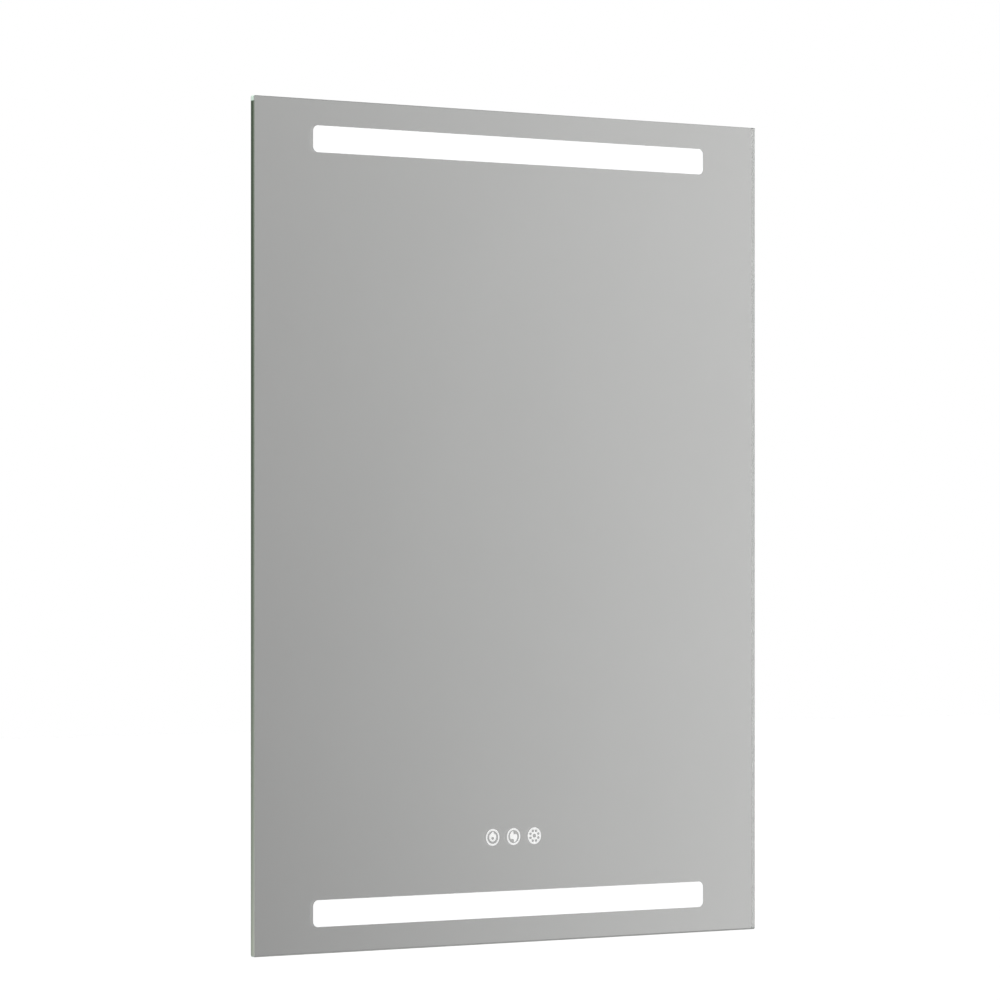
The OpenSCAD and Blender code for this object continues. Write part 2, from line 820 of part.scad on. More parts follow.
module touch_lens() {
    color([0.97, 0.97, 0.96]) sheet(coat_back, lens_t) translate([0, key_row])
        round_rect(lens_w, touch_h - 2 * touch_wall - 2 * slip, touch_corner_r - touch_wall - slip);
}

module touch_board() {
    color([0.2, 0.45, 0.3]) sheet(touch_board_front, touch_board_t) translate([0, key_row])
        round_rect(
            touch_w - 2 * touch_wall - 2 * slip, touch_h - 2 * touch_wall - 2 * slip,
            touch_corner_r - touch_wall - slip
        );
}

module touch_springs() {
    color([0.8, 0.75, 0.5]) for (i = [-1:1]) tube(
        spring_route([i * key_pitch, touch_board_front - depth, key_row]), spring_wire / 2, 6
    );
}

module touch_lights() {
    half = [touch_light[0] / 2, touch_light[2] / 2];
    color([1, 0.97, 0.8]) for (i = [-1:1]) block(
        [i * key_pitch - half[0], touch_board_front - touch_light[1], key_row - half[1]],
        [i * key_pitch + half[0], touch_board_front, key_row + half[1]]
    );
}

/* Heating film */

module heating_film() {
    color([0.85, 0.84, 0.78]) {
        sheet(coat_back, film_t) translate([0, film_z]) round_rect(film_w, film_h, film_r);
        sheet(coat_back + film_t, tab_t) translate([tab_x, film_z + film_h / 2 - tab_h / 2 - tab_drop])
            round_rect(tab_w, tab_h, film_r / 4);
    }
}

// The track runs up and down the film in one meander, turned through half rings
module heating_track() {
    top = film_z + film_h / 2 - track_top - track_pitch / 2;
    bottom = film_z - film_h / 2 + track_foot + track_pitch / 2;
    color([0.5, 0.5, 0.52]) translate([0, coat_back + film_t + track_t - depth, 0]) rotate([90, 0, 0])
        for (i = [0:track_runs - 1]) {
            x = (i - (track_runs - 1) / 2) * track_pitch;
            translate([x - track_w / 2, bottom, 0]) cube([track_w, top - bottom, track_t]);
            if (i < track_runs - 1)
                translate([x + track_pitch / 2, i % 2 == 0 ? top : bottom, 0])
                    rotate([0, 0, i % 2 == 0 ? 0 : 180]) rotate_extrude(angle = 180)
                        translate([track_pitch / 2 - track_w / 2, 0]) square([track_w, track_t]);
        }
}

/* Gear plate, driver and wiring box */

driver_hole_x = [driver_x - driver_full / 2 - driver_ear / 2, driver_x + driver_full / 2 + driver_ear / 2];
box_screw_in = [12, 16];  // from the box's sides and from its top
box_screw_x = [box_x - box_w / 2 + box_screw_in[0], box_x + box_w / 2 - box_screw_in[0]];
box_screw_z = plate_z + box_h / 2 - box_screw_in[1];

module gear_plate() {
    color([0.68, 0.7, 0.72]) difference() {
        along_x(plate_w) translate([plate_front, plate_z]) difference() {
            translate([0, -plate_h / 2]) square([plate_lip, plate_h]);
            translate([plate_t, plate_t - plate_h / 2]) square([plate_lip, plate_h - 2 * plate_t]);
        }
        for (x = driver_hole_x) facing_wall(x, gear_floor, plate_z)
            cylinder(r = screw_r + screw_slip, h = 4 * plate_t, center = true);
        for (x = box_screw_x) facing_wall(x, gear_floor, box_screw_z)
            cylinder(r = screw_r + screw_slip, h = 4 * plate_t, center = true);
    }
}

module gear_tape() {
    color([0.93, 0.93, 0.91]) sheet(coat_back, tape_t) for (s = [-1, 1])
        translate([0, plate_z + s * (plate_h / 2 - gear_tape_in)])
            square([plate_w - 2 * gear_tape_end, gear_tape_w], center = true);
}

// Half outline of the driver: flat underneath, chamfered on top, with four cooling grooves
module driver_section(width, high, grooves) {
    shoulder = high - driver_chamfer;
    flat = width / 2 - driver_chamfer;
    difference() {
        polygon([
            [0, -width / 2], [shoulder, -width / 2], [high, -flat],
            [high, flat], [shoulder, width / 2], [0, width / 2]
        ]);
        if (grooves) for (i = [-1.5:1.5])
            translate([high - driver_groove_d, i * width / 6 - driver_groove_w / 2])
                square([2 * driver_groove_d, driver_groove_w]);
    }
}

module driver_case() {
    color([0.94, 0.94, 0.92]) difference() {
        translate([driver_x, 0, 0]) {
            along_x(driver_full + 2 * driver_ear) translate([gear_floor, plate_z - driver_w / 4])
                square([driver_base_t, driver_w / 2]);
            along_x(driver_len) translate([gear_floor, plate_z]) driver_section(driver_w, driver_d, true);
        }
        for (x = driver_hole_x) facing_wall(x, gear_floor, plate_z)
            cylinder(r = screw_r + screw_slip, h = 4 * driver_base_t, center = true);
    }
}

module driver_end_covers() {
    color([0.88, 0.88, 0.86]) for (s = [-1, 1])
        translate([driver_x + s * (driver_len + driver_cover_len) / 2, 0, 0])
            along_x(driver_cover_len) translate([gear_floor + driver_base_t, plate_z])
                driver_section(
                    driver_w - 2 * driver_cover_step, driver_d - driver_base_t - driver_cover_step, false
                );
}

module driver_screws() {
    color([0.6, 0.6, 0.6]) for (x = driver_hole_x)
        facing_wall(x, gear_floor + driver_base_t, plate_z) pan_screw(driver_base_t + plate_t + screw_tail);
}

lid_seat = gear_floor + box_d;
boss_spot = [box_w / 2 - boss_in, box_h / 2 - boss_in];
inlet_in = 17;            // from the box's side, beside the terminal block
inlet_rise = 10;
inlet_x = box_x + box_w / 2 - inlet_in;
inlet_z = plate_z + inlet_rise;
inlet_hole_r = inlet_r + 2;
grommet_lip = 1.5;        // height and thickness of the lips that grip the lid
grommet_slip = 0.05;
nose_len = 4.5;
nose_wall = [2.4, 1.4];   // at the root of the nose and at its tip
driver_lead_z = plate_z + 6;

// The two bosses for the lid's screws stand in opposite corners of the box
module at_bosses() {
    for (s = [-1, 1]) translate([s * boss_spot[0], -s * boss_spot[1]]) children();
}

module wiring_box() {
    inner = [box_w - 2 * box_wall, box_h - 2 * box_wall];
    color([0.9, 0.9, 0.88]) difference() {
        union() {
            difference() {
                sheet(gear_floor, box_d) translate([box_x, plate_z]) round_rect(box_w, box_h, box_r);
                sheet(gear_floor + box_wall, box_d) translate([box_x, plate_z])
                    round_rect(inner[0], inner[1], box_r - box_wall);
            }
            sheet(gear_floor + box_wall / 2, box_d - box_wall / 2 - lid_rim - slip)
                translate([box_x, plate_z]) at_bosses() circle(boss_r);
        }
        sheet(gear_floor + box_wall + boss_floor, box_d) translate([box_x, plate_z])
            at_bosses() circle(screw_r + screw_slip);
        for (x = box_screw_x) facing_wall(x, gear_floor, box_screw_z)
            cylinder(r = screw_r + screw_slip, h = 4 * box_wall, center = true);
        translate([box_x - box_w / 2, wire_depth - depth, driver_lead_z]) rotate([0, 90, 0])
            cylinder(r = lead_r + lead_slip, h = 4 * box_wall, center = true);
        translate([tab_x, wire_depth - depth, plate_z - box_h / 2])
            cylinder(r = lead_r + lead_slip, h = 4 * box_wall, center = true);
    }
}

// The lid's rim drops inside the box's walls, and the lid has the hole for the mains cable
module wiring_box_lid() {
    rim = [box_w - 2 * box_wall - 2 * slip, box_h - 2 * box_wall - 2 * slip];
    rim_r = box_r - box_wall;
    color([0.93, 0.93, 0.91]) difference() {
        union() {
            sheet(lid_seat, lid_t) translate([box_x, plate_z]) round_rect(box_w, box_h, box_r);
            sheet(lid_seat - lid_rim, lid_rim + lid_t / 2) translate([box_x, plate_z]) difference() {
                round_rect(rim[0], rim[1], rim_r);
                round_rect(rim[0] - 2 * lid_rim_wall, rim[1] - 2 * lid_rim_wall, rim_r - lid_rim_wall);
            }
        }
        sheet(lid_seat - 2 * lid_rim, lid_t + 3 * lid_rim) translate([box_x, plate_z])
            at_bosses() circle(screw_r + screw_slip);
        facing_wall(inlet_x, lid_seat + lid_t / 2, inlet_z)
            cylinder(r = inlet_hole_r, h = 2 * lid_t, center = true);
    }
}

module lid_screws() {
    color([0.6, 0.6, 0.6]) for (s = [-1, 1])
        facing_wall(box_x + s * boss_spot[0], lid_seat + lid_t, plate_z - s * boss_spot[1])
            pan_screw(lid_screw_len);
}

module box_screws() {
    color([0.6, 0.6, 0.6]) for (x = box_screw_x)
        facing_wall(x, gear_floor + box_wall, box_screw_z) pan_screw(box_wall + plate_t + screw_tail);
}

block_z = plate_z - block_drop;
block_front = gear_floor + box_wall;
clamp_hole_d = block_d / 2 - 1.5;

// Wires enter the block from above and below, and each is clamped by a screw from the lid's side
module terminal_block() {
    color([0.85, 0.85, 0.82]) difference() {
        block([box_x - block_w / 2, block_front, block_z - block_h / 2],
              [box_x + block_w / 2, block_front + block_d, block_z + block_h / 2]);
        for (i = [-(poles - 1) / 2:(poles - 1) / 2]) {
            translate([box_x + i * pole_pitch, block_front + block_d / 2 - wire_hole_r / 2 - depth, block_z])
                cylinder(r = wire_hole_r, h = 2 * block_h, center = true);
            for (s = [-1, 1])
                facing_wall(box_x + i * pole_pitch, block_front + block_d, block_z + s * block_h / 4)
                    cylinder(r = clamp_hole_r, h = 2 * clamp_hole_d, center = true);
        }
        for (i = [0:poles]) {
            x = box_x + (i - poles / 2) * pole_pitch;
            block([x - pole_groove_w / 2, block_front + block_d - pole_groove_d, block_z - block_h],
                  [x + pole_groove_w / 2, block_front + block_d + 1, block_z + block_h]);
        }
    }
}

module terminal_screws() {
    color([0.75, 0.7, 0.5]) for (i = [-(poles - 1) / 2:(poles - 1) / 2], s = [-1, 1])
        facing_wall(box_x + i * pole_pitch, block_front + block_d - clamp_hole_d, block_z + s * block_h / 4)
            difference() {
                cylinder(r = clamp_hole_r - slip, h = clamp_screw_h);
                translate([0, 0, clamp_screw_h])
                    cube([3 * clamp_hole_r, clamp_slot[0], 2 * clamp_slot[1]], center = true);
            }
}

// A rubber grommet grips the lid in its groove, with a tapered nose inside the box
module inlet_grommet() {
    neck_r = inlet_hole_r - grommet_slip;
    lip_r = inlet_hole_r + grommet_lip;
    inner = -grommet_slip;
    outer = lid_t + grommet_slip;
    color([0.15, 0.15, 0.15]) facing_wall(inlet_x, lid_seat, inlet_z) rotate_extrude() polygon([
        [inlet_r, -grommet_lip - nose_len], [inlet_r + nose_wall[1], -grommet_lip - nose_len],
        [inlet_r + nose_wall[0], -grommet_lip], [lip_r, -grommet_lip],
        [lip_r, inner], [neck_r, inner], [neck_r, outer], [lip_r, outer],
        [lip_r, lid_t + grommet_lip], [inlet_r, lid_t + grommet_lip]
    ]);
}

/* Leads */

function unit(v) = v / norm(v);

// Points of a route through hand-picked corners, each corner turned into a smooth bend
function bend(a, p, c) =
    let (
        reach = min(lead_bend, 0.45 * norm(a - p), 0.45 * norm(c - p)),
        from = p + unit(a - p) * reach,
        to = p + unit(c - p) * reach,
        steps = 4
    )
    [for (k = [0:steps]) let (t = k / steps) (1 - t) ^ 2 * from + 2 * t * (1 - t) * p + t ^ 2 * to];

function straight(a, b, step) =
    let (n = ceil(norm(b - a) / step)) n < 2 ? [] : [for (k = [1:n - 1]) a + (b - a) * k / n];

function route(corners, step) =
    let (
        last = len(corners) - 1,
        knots = [for (i = [0:last])
            i == 0 || i == last ? [corners[i]] : bend(corners[i - 1], corners[i], corners[i + 1])]
    )
    [for (i = [0:last]) each concat(
        knots[i],
        i == last ? [] : straight(knots[i][len(knots[i]) - 1], knots[i + 1][0], step)
    )];

function spring_route(foot) =
    let (
        rise = spring_h - spring_wire - 2 * spring_slip,
        per_curl = 8,
        last = spring_curls * per_curl
    )
    [for (k = [0:last]) foot + [
        spring_dia / 2 * cos(360 * k / per_curl),
        -spring_wire / 2 - spring_slip - rise * k / last,
        spring_dia / 2 * sin(360 * k / per_curl)
    ]];

// Least gap between a tube's turns, measured between points more than half a turn apart
function least_gap(p, thick, apart) =
    min([for (i = [0:len(p) - 1 - apart], j = [i + apart:len(p) - 1]) norm(p[i] - p[j])]) - thick;

echo("touch spring, least gap to itself", least_gap(spring_route([0, 0, 0]), spring_wire, 5));

function heading(p, i) = unit(p[min(i + 1, len(p) - 1)] - p[max(i - 1, 0)]);

// A round tube along a row of points, its rings carried along without twist
module tube(p, r, sides) {
    last = len(p) - 1;
    first_side = [0, 1, 0];
    normals = [for (
        i = 0, n = unit(first_side - (first_side * heading(p, 0)) * heading(p, 0));
        i <= last;
        i = i + 1, n = i > last ? n : unit(n - (n * heading(p, i)) * heading(p, i))
    ) n];
    points = [for (i = [0:last]) let (n = normals[i], b = cross(heading(p, i), n))
        for (k = [0:sides - 1]) p[i] + r * (cos(360 * k / sides) * n + sin(360 * k / sides) * b)];
    walls = [for (i = [0:last - 1], k = [0:sides - 1])
        let (a = i * sides + k, b = i * sides + (k + 1) % sides)
        each [[a, b + sides, b], [a, a + sides, b + sides]]];
    caps = [for (k = [1:sides - 2]) each [
        [0, k, k + 1], [last * sides, last * sides + k + 1, last * sides + k]
    ]];
    polyhedron(points, concat(walls, caps), convexity = 10);
}

lead_step = 3 * lead_dia;
lead_colour = [0.9, 0.9, 0.88];
bend_drop = 22;           // where a lead leaves the glass to rise to a trough's hole
bend_land = 8;
inside = 4;               // how far a lead reaches into a housing
plate_step = 34;          // where the supply lead has come down from the plate to the mirror's back
tab_rise = 6;
driver_lead_run = 16;
box_lead_run = 12;
low_hole_z = low_window + trough_h / 2;
top_hole_z = top_window - trough_h / 2;
driver_left = driver_x - driver_full / 2;
driver_right = driver_x + driver_full / 2;
touch_side = touch_w / 2 - inside;

// A lead along corners given as x, depth and z
module lead(corners) {
    color(lead_colour)
        tube(route([for (c = corners) [c[0], c[1] - depth, c[2]]], lead_step), lead_r, lead_sides);
}

module supply_lead() {
    lead([
        [driver_left, wire_depth, plate_z], [-lead_x, wire_depth, plate_z],
        [-lead_x, lead_depth, plate_z - plate_step], [-lead_x, lead_depth, key_row + touch_lead_offset],
        [-touch_side, lead_depth, key_row + touch_lead_offset]
    ]);
}

module upper_light_lead() {
    lead([
        [touch_side, lead_depth, key_row], [lead_x, lead_depth, key_row],
        [lead_x, lead_depth, top_hole_z - bend_drop], [lead_x, trough_hole_depth, top_hole_z - bend_land],
        [lead_x, trough_hole_depth, top_hole_z + inside]
    ]);
}

module lower_light_lead() {
    lead([
        [-touch_side, lead_depth, key_row - touch_lead_offset],
        [low_lead_x, lead_depth, key_row - touch_lead_offset],
        [low_lead_x, lead_depth, low_hole_z + bend_drop],
        [low_lead_x, trough_hole_depth, low_hole_z + bend_land],
        [low_lead_x, trough_hole_depth, low_hole_z - inside]
    ]);
}

module film_lead() {
    tab_top = film_z + film_h / 2 - tab_drop;
    tab_mid = coat_back + film_t + tab_t / 2;
    lead([
        [tab_x, wire_depth, plate_z - box_h / 2 + inside],
        [tab_x, wire_depth, plate_z - plate_h / 2 - inside],
        [tab_x, tab_mid, tab_top + tab_rise], [tab_x, tab_mid, tab_top]
    ]);
}

module driver_lead() {
    lead([
        [driver_right, wire_depth, plate_z], [driver_right + driver_lead_run, wire_depth, plate_z],
        [box_x - box_w / 2 - box_lead_run, wire_depth, driver_lead_z],
        [box_x - box_w / 2 + inside, wire_depth, driver_lead_z]
    ]);
}

// Section of a clip that holds a lead on the mirror's back, drawn from the surface up
module clip_section() {
    middle = lead_lift + lead_r;
    foot = 2 * (lead_r + clip_foot);
    difference() {
        union() {
            translate([-foot / 2, 0]) square([foot, clip_foot_t]);
            intersection() {
                translate([0, middle]) circle(lead_r + clip_slip + clip_wall);
                translate([-foot / 2, 0]) square([foot, foot]);
            }
        }
        translate([0, middle]) circle(lead_r + clip_slip);
    }
}

// Clips on the upright runs and on the level runs of the leads
upright_clips = [
    for (z = [upper_bar_z - 2 * clip_pitch:-clip_pitch:lower_bar_z + clip_clear]) [-lead_x, z],
    for (z = [upper_bar_z - 2 * clip_clear:-clip_pitch:lower_bar_z + clip_clear]) [lead_x, z],
    [lead_x, upper_bar_z + clip_clear],
    for (s = [-1, 1]) [s * lead_x, lower_bar_z - low_clip_clear]
];
level_clips = [
    for (x = [1, 2]) [touch_w / 2 + x * clip_pitch / 2, key_row],
    [(low_lead_x - lead_x) / 2, key_row + touch_lead_offset],
    [(low_lead_x - touch_w / 2) / 2, key_row - touch_lead_offset]
];

module lead_clips() {
    color([0.95, 0.95, 0.93]) {
        for (p = upright_clips) translate([p[0], coat_back - depth, p[1]])
            linear_extrude(clip_len, center = true) clip_section();
        for (p = level_clips) translate([p[0], coat_back - depth, p[1]])
            rotate([0, 90, 0]) linear_extrude(clip_len, center = true) clip_section();
    }
}

wall_rail();
hanger_bar();
hanger_rivets();
mirror_glass();
silver_coating();
frame_top();
frame_bottom();
frame_left();
frame_right();
frame_tape();
corner_keys();
corner_screws();
wall_pads();
upper_crossbar();
lower_crossbar();
crossbar_tape();
crossbar_brackets();
bracket_screws();
upper_light_trough();
lower_light_trough();
upper_diffuser();
lower_diffuser();
upper_light_board();
lower_light_board();
upper_light_chips();
lower_light_chips();
upper_trough_plugs();
lower_trough_plugs();
touch_housing();
touch_lens();
touch_board();
touch_springs();
touch_lights();
heating_film();
heating_track();
gear_plate();
gear_tape();
driver_case();
driver_end_covers();
driver_screws();
wiring_box();
wiring_box_lid();
lid_screws();
box_screws();
terminal_block();
terminal_screws();
inlet_grommet();
supply_lead();
upper_light_lead();
lower_light_lead();
film_lead();
driver_lead();
lead_clips();
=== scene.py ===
import math

import bmesh
import bpy
from mathutils import Matrix, Vector


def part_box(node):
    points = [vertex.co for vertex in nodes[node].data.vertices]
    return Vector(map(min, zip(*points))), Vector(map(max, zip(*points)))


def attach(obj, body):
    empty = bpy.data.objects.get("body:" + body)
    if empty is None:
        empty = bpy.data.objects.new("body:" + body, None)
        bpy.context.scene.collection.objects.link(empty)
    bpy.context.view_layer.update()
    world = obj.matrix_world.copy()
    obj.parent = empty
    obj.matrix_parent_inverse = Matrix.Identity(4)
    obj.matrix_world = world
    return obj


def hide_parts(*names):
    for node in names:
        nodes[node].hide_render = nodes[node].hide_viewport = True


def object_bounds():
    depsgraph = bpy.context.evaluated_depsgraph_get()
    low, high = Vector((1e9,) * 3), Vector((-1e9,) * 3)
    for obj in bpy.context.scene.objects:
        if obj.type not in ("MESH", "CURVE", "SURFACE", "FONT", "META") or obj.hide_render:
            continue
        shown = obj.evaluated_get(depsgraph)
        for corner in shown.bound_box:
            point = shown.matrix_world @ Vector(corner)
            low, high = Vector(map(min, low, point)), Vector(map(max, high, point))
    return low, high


MM = 0.001

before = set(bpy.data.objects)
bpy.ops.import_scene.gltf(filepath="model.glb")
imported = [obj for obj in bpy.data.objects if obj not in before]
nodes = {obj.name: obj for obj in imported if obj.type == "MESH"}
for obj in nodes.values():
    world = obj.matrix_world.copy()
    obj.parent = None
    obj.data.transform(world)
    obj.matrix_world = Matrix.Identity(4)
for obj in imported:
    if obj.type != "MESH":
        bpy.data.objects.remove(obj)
cad_low, cad_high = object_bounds()

# Camera: a long lens, level, to the left of the mirror, a little below its middle
CAMERA_AT = (-2.8693, -3.9032, -0.3004)
CAMERA_TURN = 36.41               # degrees to the left of straight on
LENS = 180                        # millimetres, as the sensor's width is
SENSOR = 36
SHIFT_Y = 0.05895                 # sets how high the mirror stands in the picture

# Glass
ARRIS = 0.7 * MM
FINE_ARRIS = 0.06 * MM            # on the back, and on the right and the top, where the photo shows no line
CORNER = 1.5 * MM
PAINTED_GLINT_HEIGHT = 4.8 * MM                # of the near edge, below the top corner, where a glint of light is painted
FILM_GAP = 0.05 * MM              # keeps the glass's back face off the silvering
PAINTED_LIGHT_FADE = 3                     # power by which the painted light at the near edge's pale lower end dies out upwards into painted shade
PAINTED_BACK_SHADE = 0.46                 # how much of that pale tone of painted light is lost to painted shade at the back of the edge
EDGE_SHEEN = 0.25                 # specular level of ground glass

# Windows and keys in the silvering, set over a little because the glass bends the view of them
SEEN_SHIFT = 2.3 * MM
WINDOW_HALF = (233.75 * MM, 12.55 * MM)
WINDOW_R = 5.5 * MM
WINDOW_RISE = {"upper_diffuser": 0.57 * MM, "lower_diffuser": 0.0}
KEY_PITCH = 25 * MM
KEY_R = 8.1 * MM
KEY_STROKE = 1.8 * MM
WELD = 0.001 * MM                 # corners of the silvering nearer than this become one

# Signs on the keys, in millimetres from a key's middle
DROP_R = 4.3
DROP_MIDDLE = (0, -0.3)
DROP_TIP = 5.1
DROP_SHOULDER = ((2.1, 3.0), (0.8, 4.5))
DROP_RISE = 0.55
DROP_SPOT_AT = (-0.15, -0.9)
DROP_SPOT_R = 1.5
SWIRL_HALF = (
    (-0.2, 5.2), (-1.5, 5.3), (-3.0, 4.3), (-4.1, 2.6), (-4.6, 0.6), (-4.4, -1.2), (-3.5, -2.3), (-2.0, -2.5),
    (-0.6, -2.1), (0.1, -2.9)
)
SUN_MIDDLE_R = 1.9
SUN_SPOTS = 8
SUN_SPOT_R = 1.35
SUN_SPOT_AT = 5.1

# Light
DAYLIGHT = 0.62                   # what the surroundings give to a matt surface
FRONT_LIGHT = 0.34                # what the front lamp adds to a surface that faces it
REAR_LIGHT = 0.3                  # the same of the rear lamp
LAMP_ANGLE = 50                   # how wide each lamp is, in degrees, for soft shadows
FLOOR_DROP = 2.3                  # from the mirror's lower edge down to the floor, clear of the dome
FLOOR_HALF = 60
FLOOR_TONE = 0.8
FLOOR_GLOW = 0.135                # what lifts the lit floor to plain white

# The grey dome round the mirror, which only metal and glass see: its tone swings as it goes round
DOME_R = 2.6
DOME_SEGMENTS = 96
DOME_TINT = (1.0, 1.0, 0.994, 1)
DOME_LIGHT = 0.658                # the palest tone
DOME_DEPTH = 0.349                # how much darker the darkest is, at the mirror's middle height
DOME_DEPTH_RISE = -0.0875         # what that changes by for each metre up
DOME_DARKEST = 0.25               # the darkest tone anywhere
DOME_SWINGS = 4                   # times the tone swings in a full turn
DOME_PHASE = 36.4                 # where it passes its middle on the way up, in degrees

# How far a normal leans to one side, from 0 to 1, before its face counts as looking there
UPRIGHT_LEAN = 0.2                # up or down; a face that leans less is upright
SIDE_LEAN = 0.6
CORNER_LEAN = 0.3                 # to the left, for the painted glint that runs round the top corner
DOWN_LEAN = 0.5
FRONT_LEAN = 0.5
SHARP_TURN = math.radians(30)     # an edge where the surface turns by more than this stays sharp


def srgb(r, g, b):
    """An 8-bit screen colour as linear light."""
    def one(v):
        v /= 255
        return v / 12.92 if v <= 0.04045 else ((v + 0.055) / 1.055) ** 2.4
    return one(r), one(g), one(b), 1.0


def shade(colour, factor):
    """The colour made lighter or darker."""
    return tuple(min(1.0, v * factor) for v in colour[:3]) + (1.0,)


# Small node-building helpers

NOISE_LOW, NOISE_HIGH = 0.25, 0.75      # nearly all of a noise's values lie between these
NOISE_ROUGHNESS = 0.55
MIX_SHARE, MIX_FIRST, MIX_SECOND, MIX_RESULT = 0, 6, 7, 2      # sockets of a Mix node for colours


def bare_material(name):
    """A material with an empty node tree."""
    material = bpy.data.materials.new(name)
    material.use_nodes = True
    material.node_tree.nodes.clear()
    return material


class Shader:
    """A material with one Principled shader and short ways to hang procedural detail on it."""

    def __init__(self, name):
        self.material = bare_material(name)
        self.tree = self.material.node_tree
        self.main = self.add("ShaderNodeBsdfPrincipled")
        self.link(self.main.outputs["BSDF"], self.add("ShaderNodeOutputMaterial"), "Surface")
        self.place = None

    def add(self, kind, **settings):
        node = self.tree.nodes.new(kind)
        for key, value in settings.items():
            setattr(node, key, value)
        return node

    def link(self, source, node, into):
        self.tree.links.new(source, node.inputs[into])

    def set(self, **values):
        """Plain values of the Principled shader; an underscore stands for a space in a socket's name."""
        for key, value in values.items():
            self.main.inputs[key.replace("_", " ")].default_value = value

    def object_place(self):
        """Object coordinates, in metres."""
        if self.place is None:
            self.place = self.add("ShaderNodeTexCoord").outputs["Object"]
        return self.place

    def scaled_place(self, per_metre):
        """Object coordinates with so many units to the metre: one number, or one for each axis."""
        scale = per_metre if isinstance(per_metre, tuple) else (per_metre,) * 3
        mapping = self.add("ShaderNodeMapping")
        mapping.inputs["Scale"].default_value = scale
        self.link(self.object_place(), mapping, "Vector")
        return mapping.outputs["Vector"]

    def noise(self, per_metre, detail=3.0):
        """Noise from 0 to 1, with about so many blots to the metre."""
        texture = self.add("ShaderNodeTexNoise")
        texture.inputs["Scale"].default_value = 1.0
        texture.inputs["Detail"].default_value = detail
        texture.inputs["Roughness"].default_value = NOISE_ROUGHNESS
        self.link(self.scaled_place(per_metre), texture, "Vector")
        return texture.outputs["Fac"]

    def cells(self, per_metre):
        """Flat cells of random tone, such as the spangle of zinc."""
        texture = self.add("ShaderNodeTexVoronoi", feature="F1")
        texture.inputs["Scale"].default_value = 1.0
        self.link(self.scaled_place(per_metre), texture, "Vector")
        split = self.add("ShaderNodeSeparateColor")
        self.link(texture.outputs["Color"], split, "Color")
        return split.outputs["Red"]

    def spread(self, source, low, high):
        """A 0 to 1 source spread over a range of values."""
        node = self.add("ShaderNodeMapRange")
        node.inputs["From Min"].default_value = NOISE_LOW
        node.inputs["From Max"].default_value = NOISE_HIGH
        node.inputs["To Min"].default_value = low
        node.inputs["To Max"].default_value = high
        self.link(source, node, "Value")
        return node.outputs["Result"]

    def mixed(self, share, first, second):
        """Base colour between two colours, by the second one's share."""
        node = self.add("ShaderNodeMix", data_type="RGBA")
        self.link(share, node, MIX_SHARE)
        node.inputs[MIX_FIRST].default_value = first
        node.inputs[MIX_SECOND].default_value = second
        self.link(node.outputs[MIX_RESULT], self.main, "Base Color")

    def tones(self, source, low, high):
        """Base colour that wanders between two tones with a 0 to 1 source."""
        self.mixed(self.spread(source, 0, 1), low, high)

    def rough(self, source, low, high):
        """Roughness that wanders between two values with a 0 to 1 source."""
        self.link(self.spread(source, low, high), self.main, "Roughness")

    def bump(self, source, height, strength):
        """Relief of a real height, in metres."""
        node = self.add("ShaderNodeBump")
        node.inputs["Distance"].default_value = height
        node.inputs["Strength"].default_value = strength
        self.link(source, node, "Height")
        self.link(node.outputs["Normal"], self.main, "Normal")


class Sums:
    """Short way to write arithmetic in a node tree."""

    def __init__(self, tree):
        self.tree = tree

    def __call__(self, kind, *values):
        node = self.tree.nodes.new("ShaderNodeMath")
        node.operation = kind
        for socket, value in zip(node.inputs, values):
            if isinstance(value, (int, float)):
                socket.default_value = value
            else:
                self.tree.links.new(value, socket)
        return node.outputs[0]


# Materials

def plastic(name, colour, rough=0.45, grain=0.35 * MM):
    """Moulded plastic with a fine spark-eroded grain and a slight unevenness of tone."""
    look = Shader(name)
    look.tones(look.noise(per_metre=60), shade(colour, 0.95), shade(colour, 1.05))
    fine = look.noise(per_metre=1 / grain, detail=2)
    look.rough(fine, low=rough - 0.06, high=rough + 0.08)
    look.bump(fine, height=0.02 * MM, strength=0.6)
    return look.material


def extrusion(name, lines_per_metre, colour):
    """Satin anodised aluminium with die lines, which are far apart along the bar and close across it."""
    look = Shader(name)
    look.set(Metallic=1.0)
    die = look.noise(lines_per_metre, detail=4)
    look.tones(look.noise(per_metre=14), shade(colour, 0.93), shade(colour, 1.05))
    look.rough(die, low=0.27, high=0.44)
    look.bump(die, height=0.012 * MM, strength=0.5)
    return look.material


def zinc(name, colour, rough=0.38):
    """Zinc plate: a faint spangle, with soft blotches of roughness."""
    look = Shader(name)
    look.set(Metallic=1.0)
    spangle = look.cells(per_metre=240)
    look.tones(spangle, shade(colour, 0.86), shade(colour, 1.08))
    look.rough(spangle, low=rough - 0.08, high=rough + 0.12)
    look.bump(look.noise(per_metre=900), height=0.01 * MM, strength=0.5)
    return look.material


def foam(name, colour):
    """Closed-cell foam tape, cut edge showing its cells."""
    look = Shader(name)
    look.set(Roughness=0.9)
    look.tones(look.noise(per_metre=2600, detail=4), shade(colour, 0.82), shade(colour, 1.04))
    look.bump(look.noise(per_metre=3200), height=0.12 * MM, strength=0.8)
    return look.material


def rubber(name, colour):
    """Moulded rubber, matt and slightly grained."""
    look = Shader(name)
    look.tones(look.noise(per_metre=90), shade(colour, 0.8), shade(colour, 1.5))
    grain = look.noise(per_metre=2200)
    look.rough(grain, low=0.62, high=0.8)
    look.bump(grain, height=0.03 * MM, strength=0.7)
    return look.material


def lit_opal(name, strength):
    """Opal acrylic with the lights behind it on."""
    look = Shader(name)
    look.set(Emission_Color=(1, 1, 1, 1), Emission_Strength=strength)
    look.tones(look.noise(per_metre=40), (0.92, 0.92, 0.91, 1), (0.95, 0.95, 0.95, 1))
    look.rough(look.noise(per_metre=3000), low=0.4, high=0.55)
    return look.material


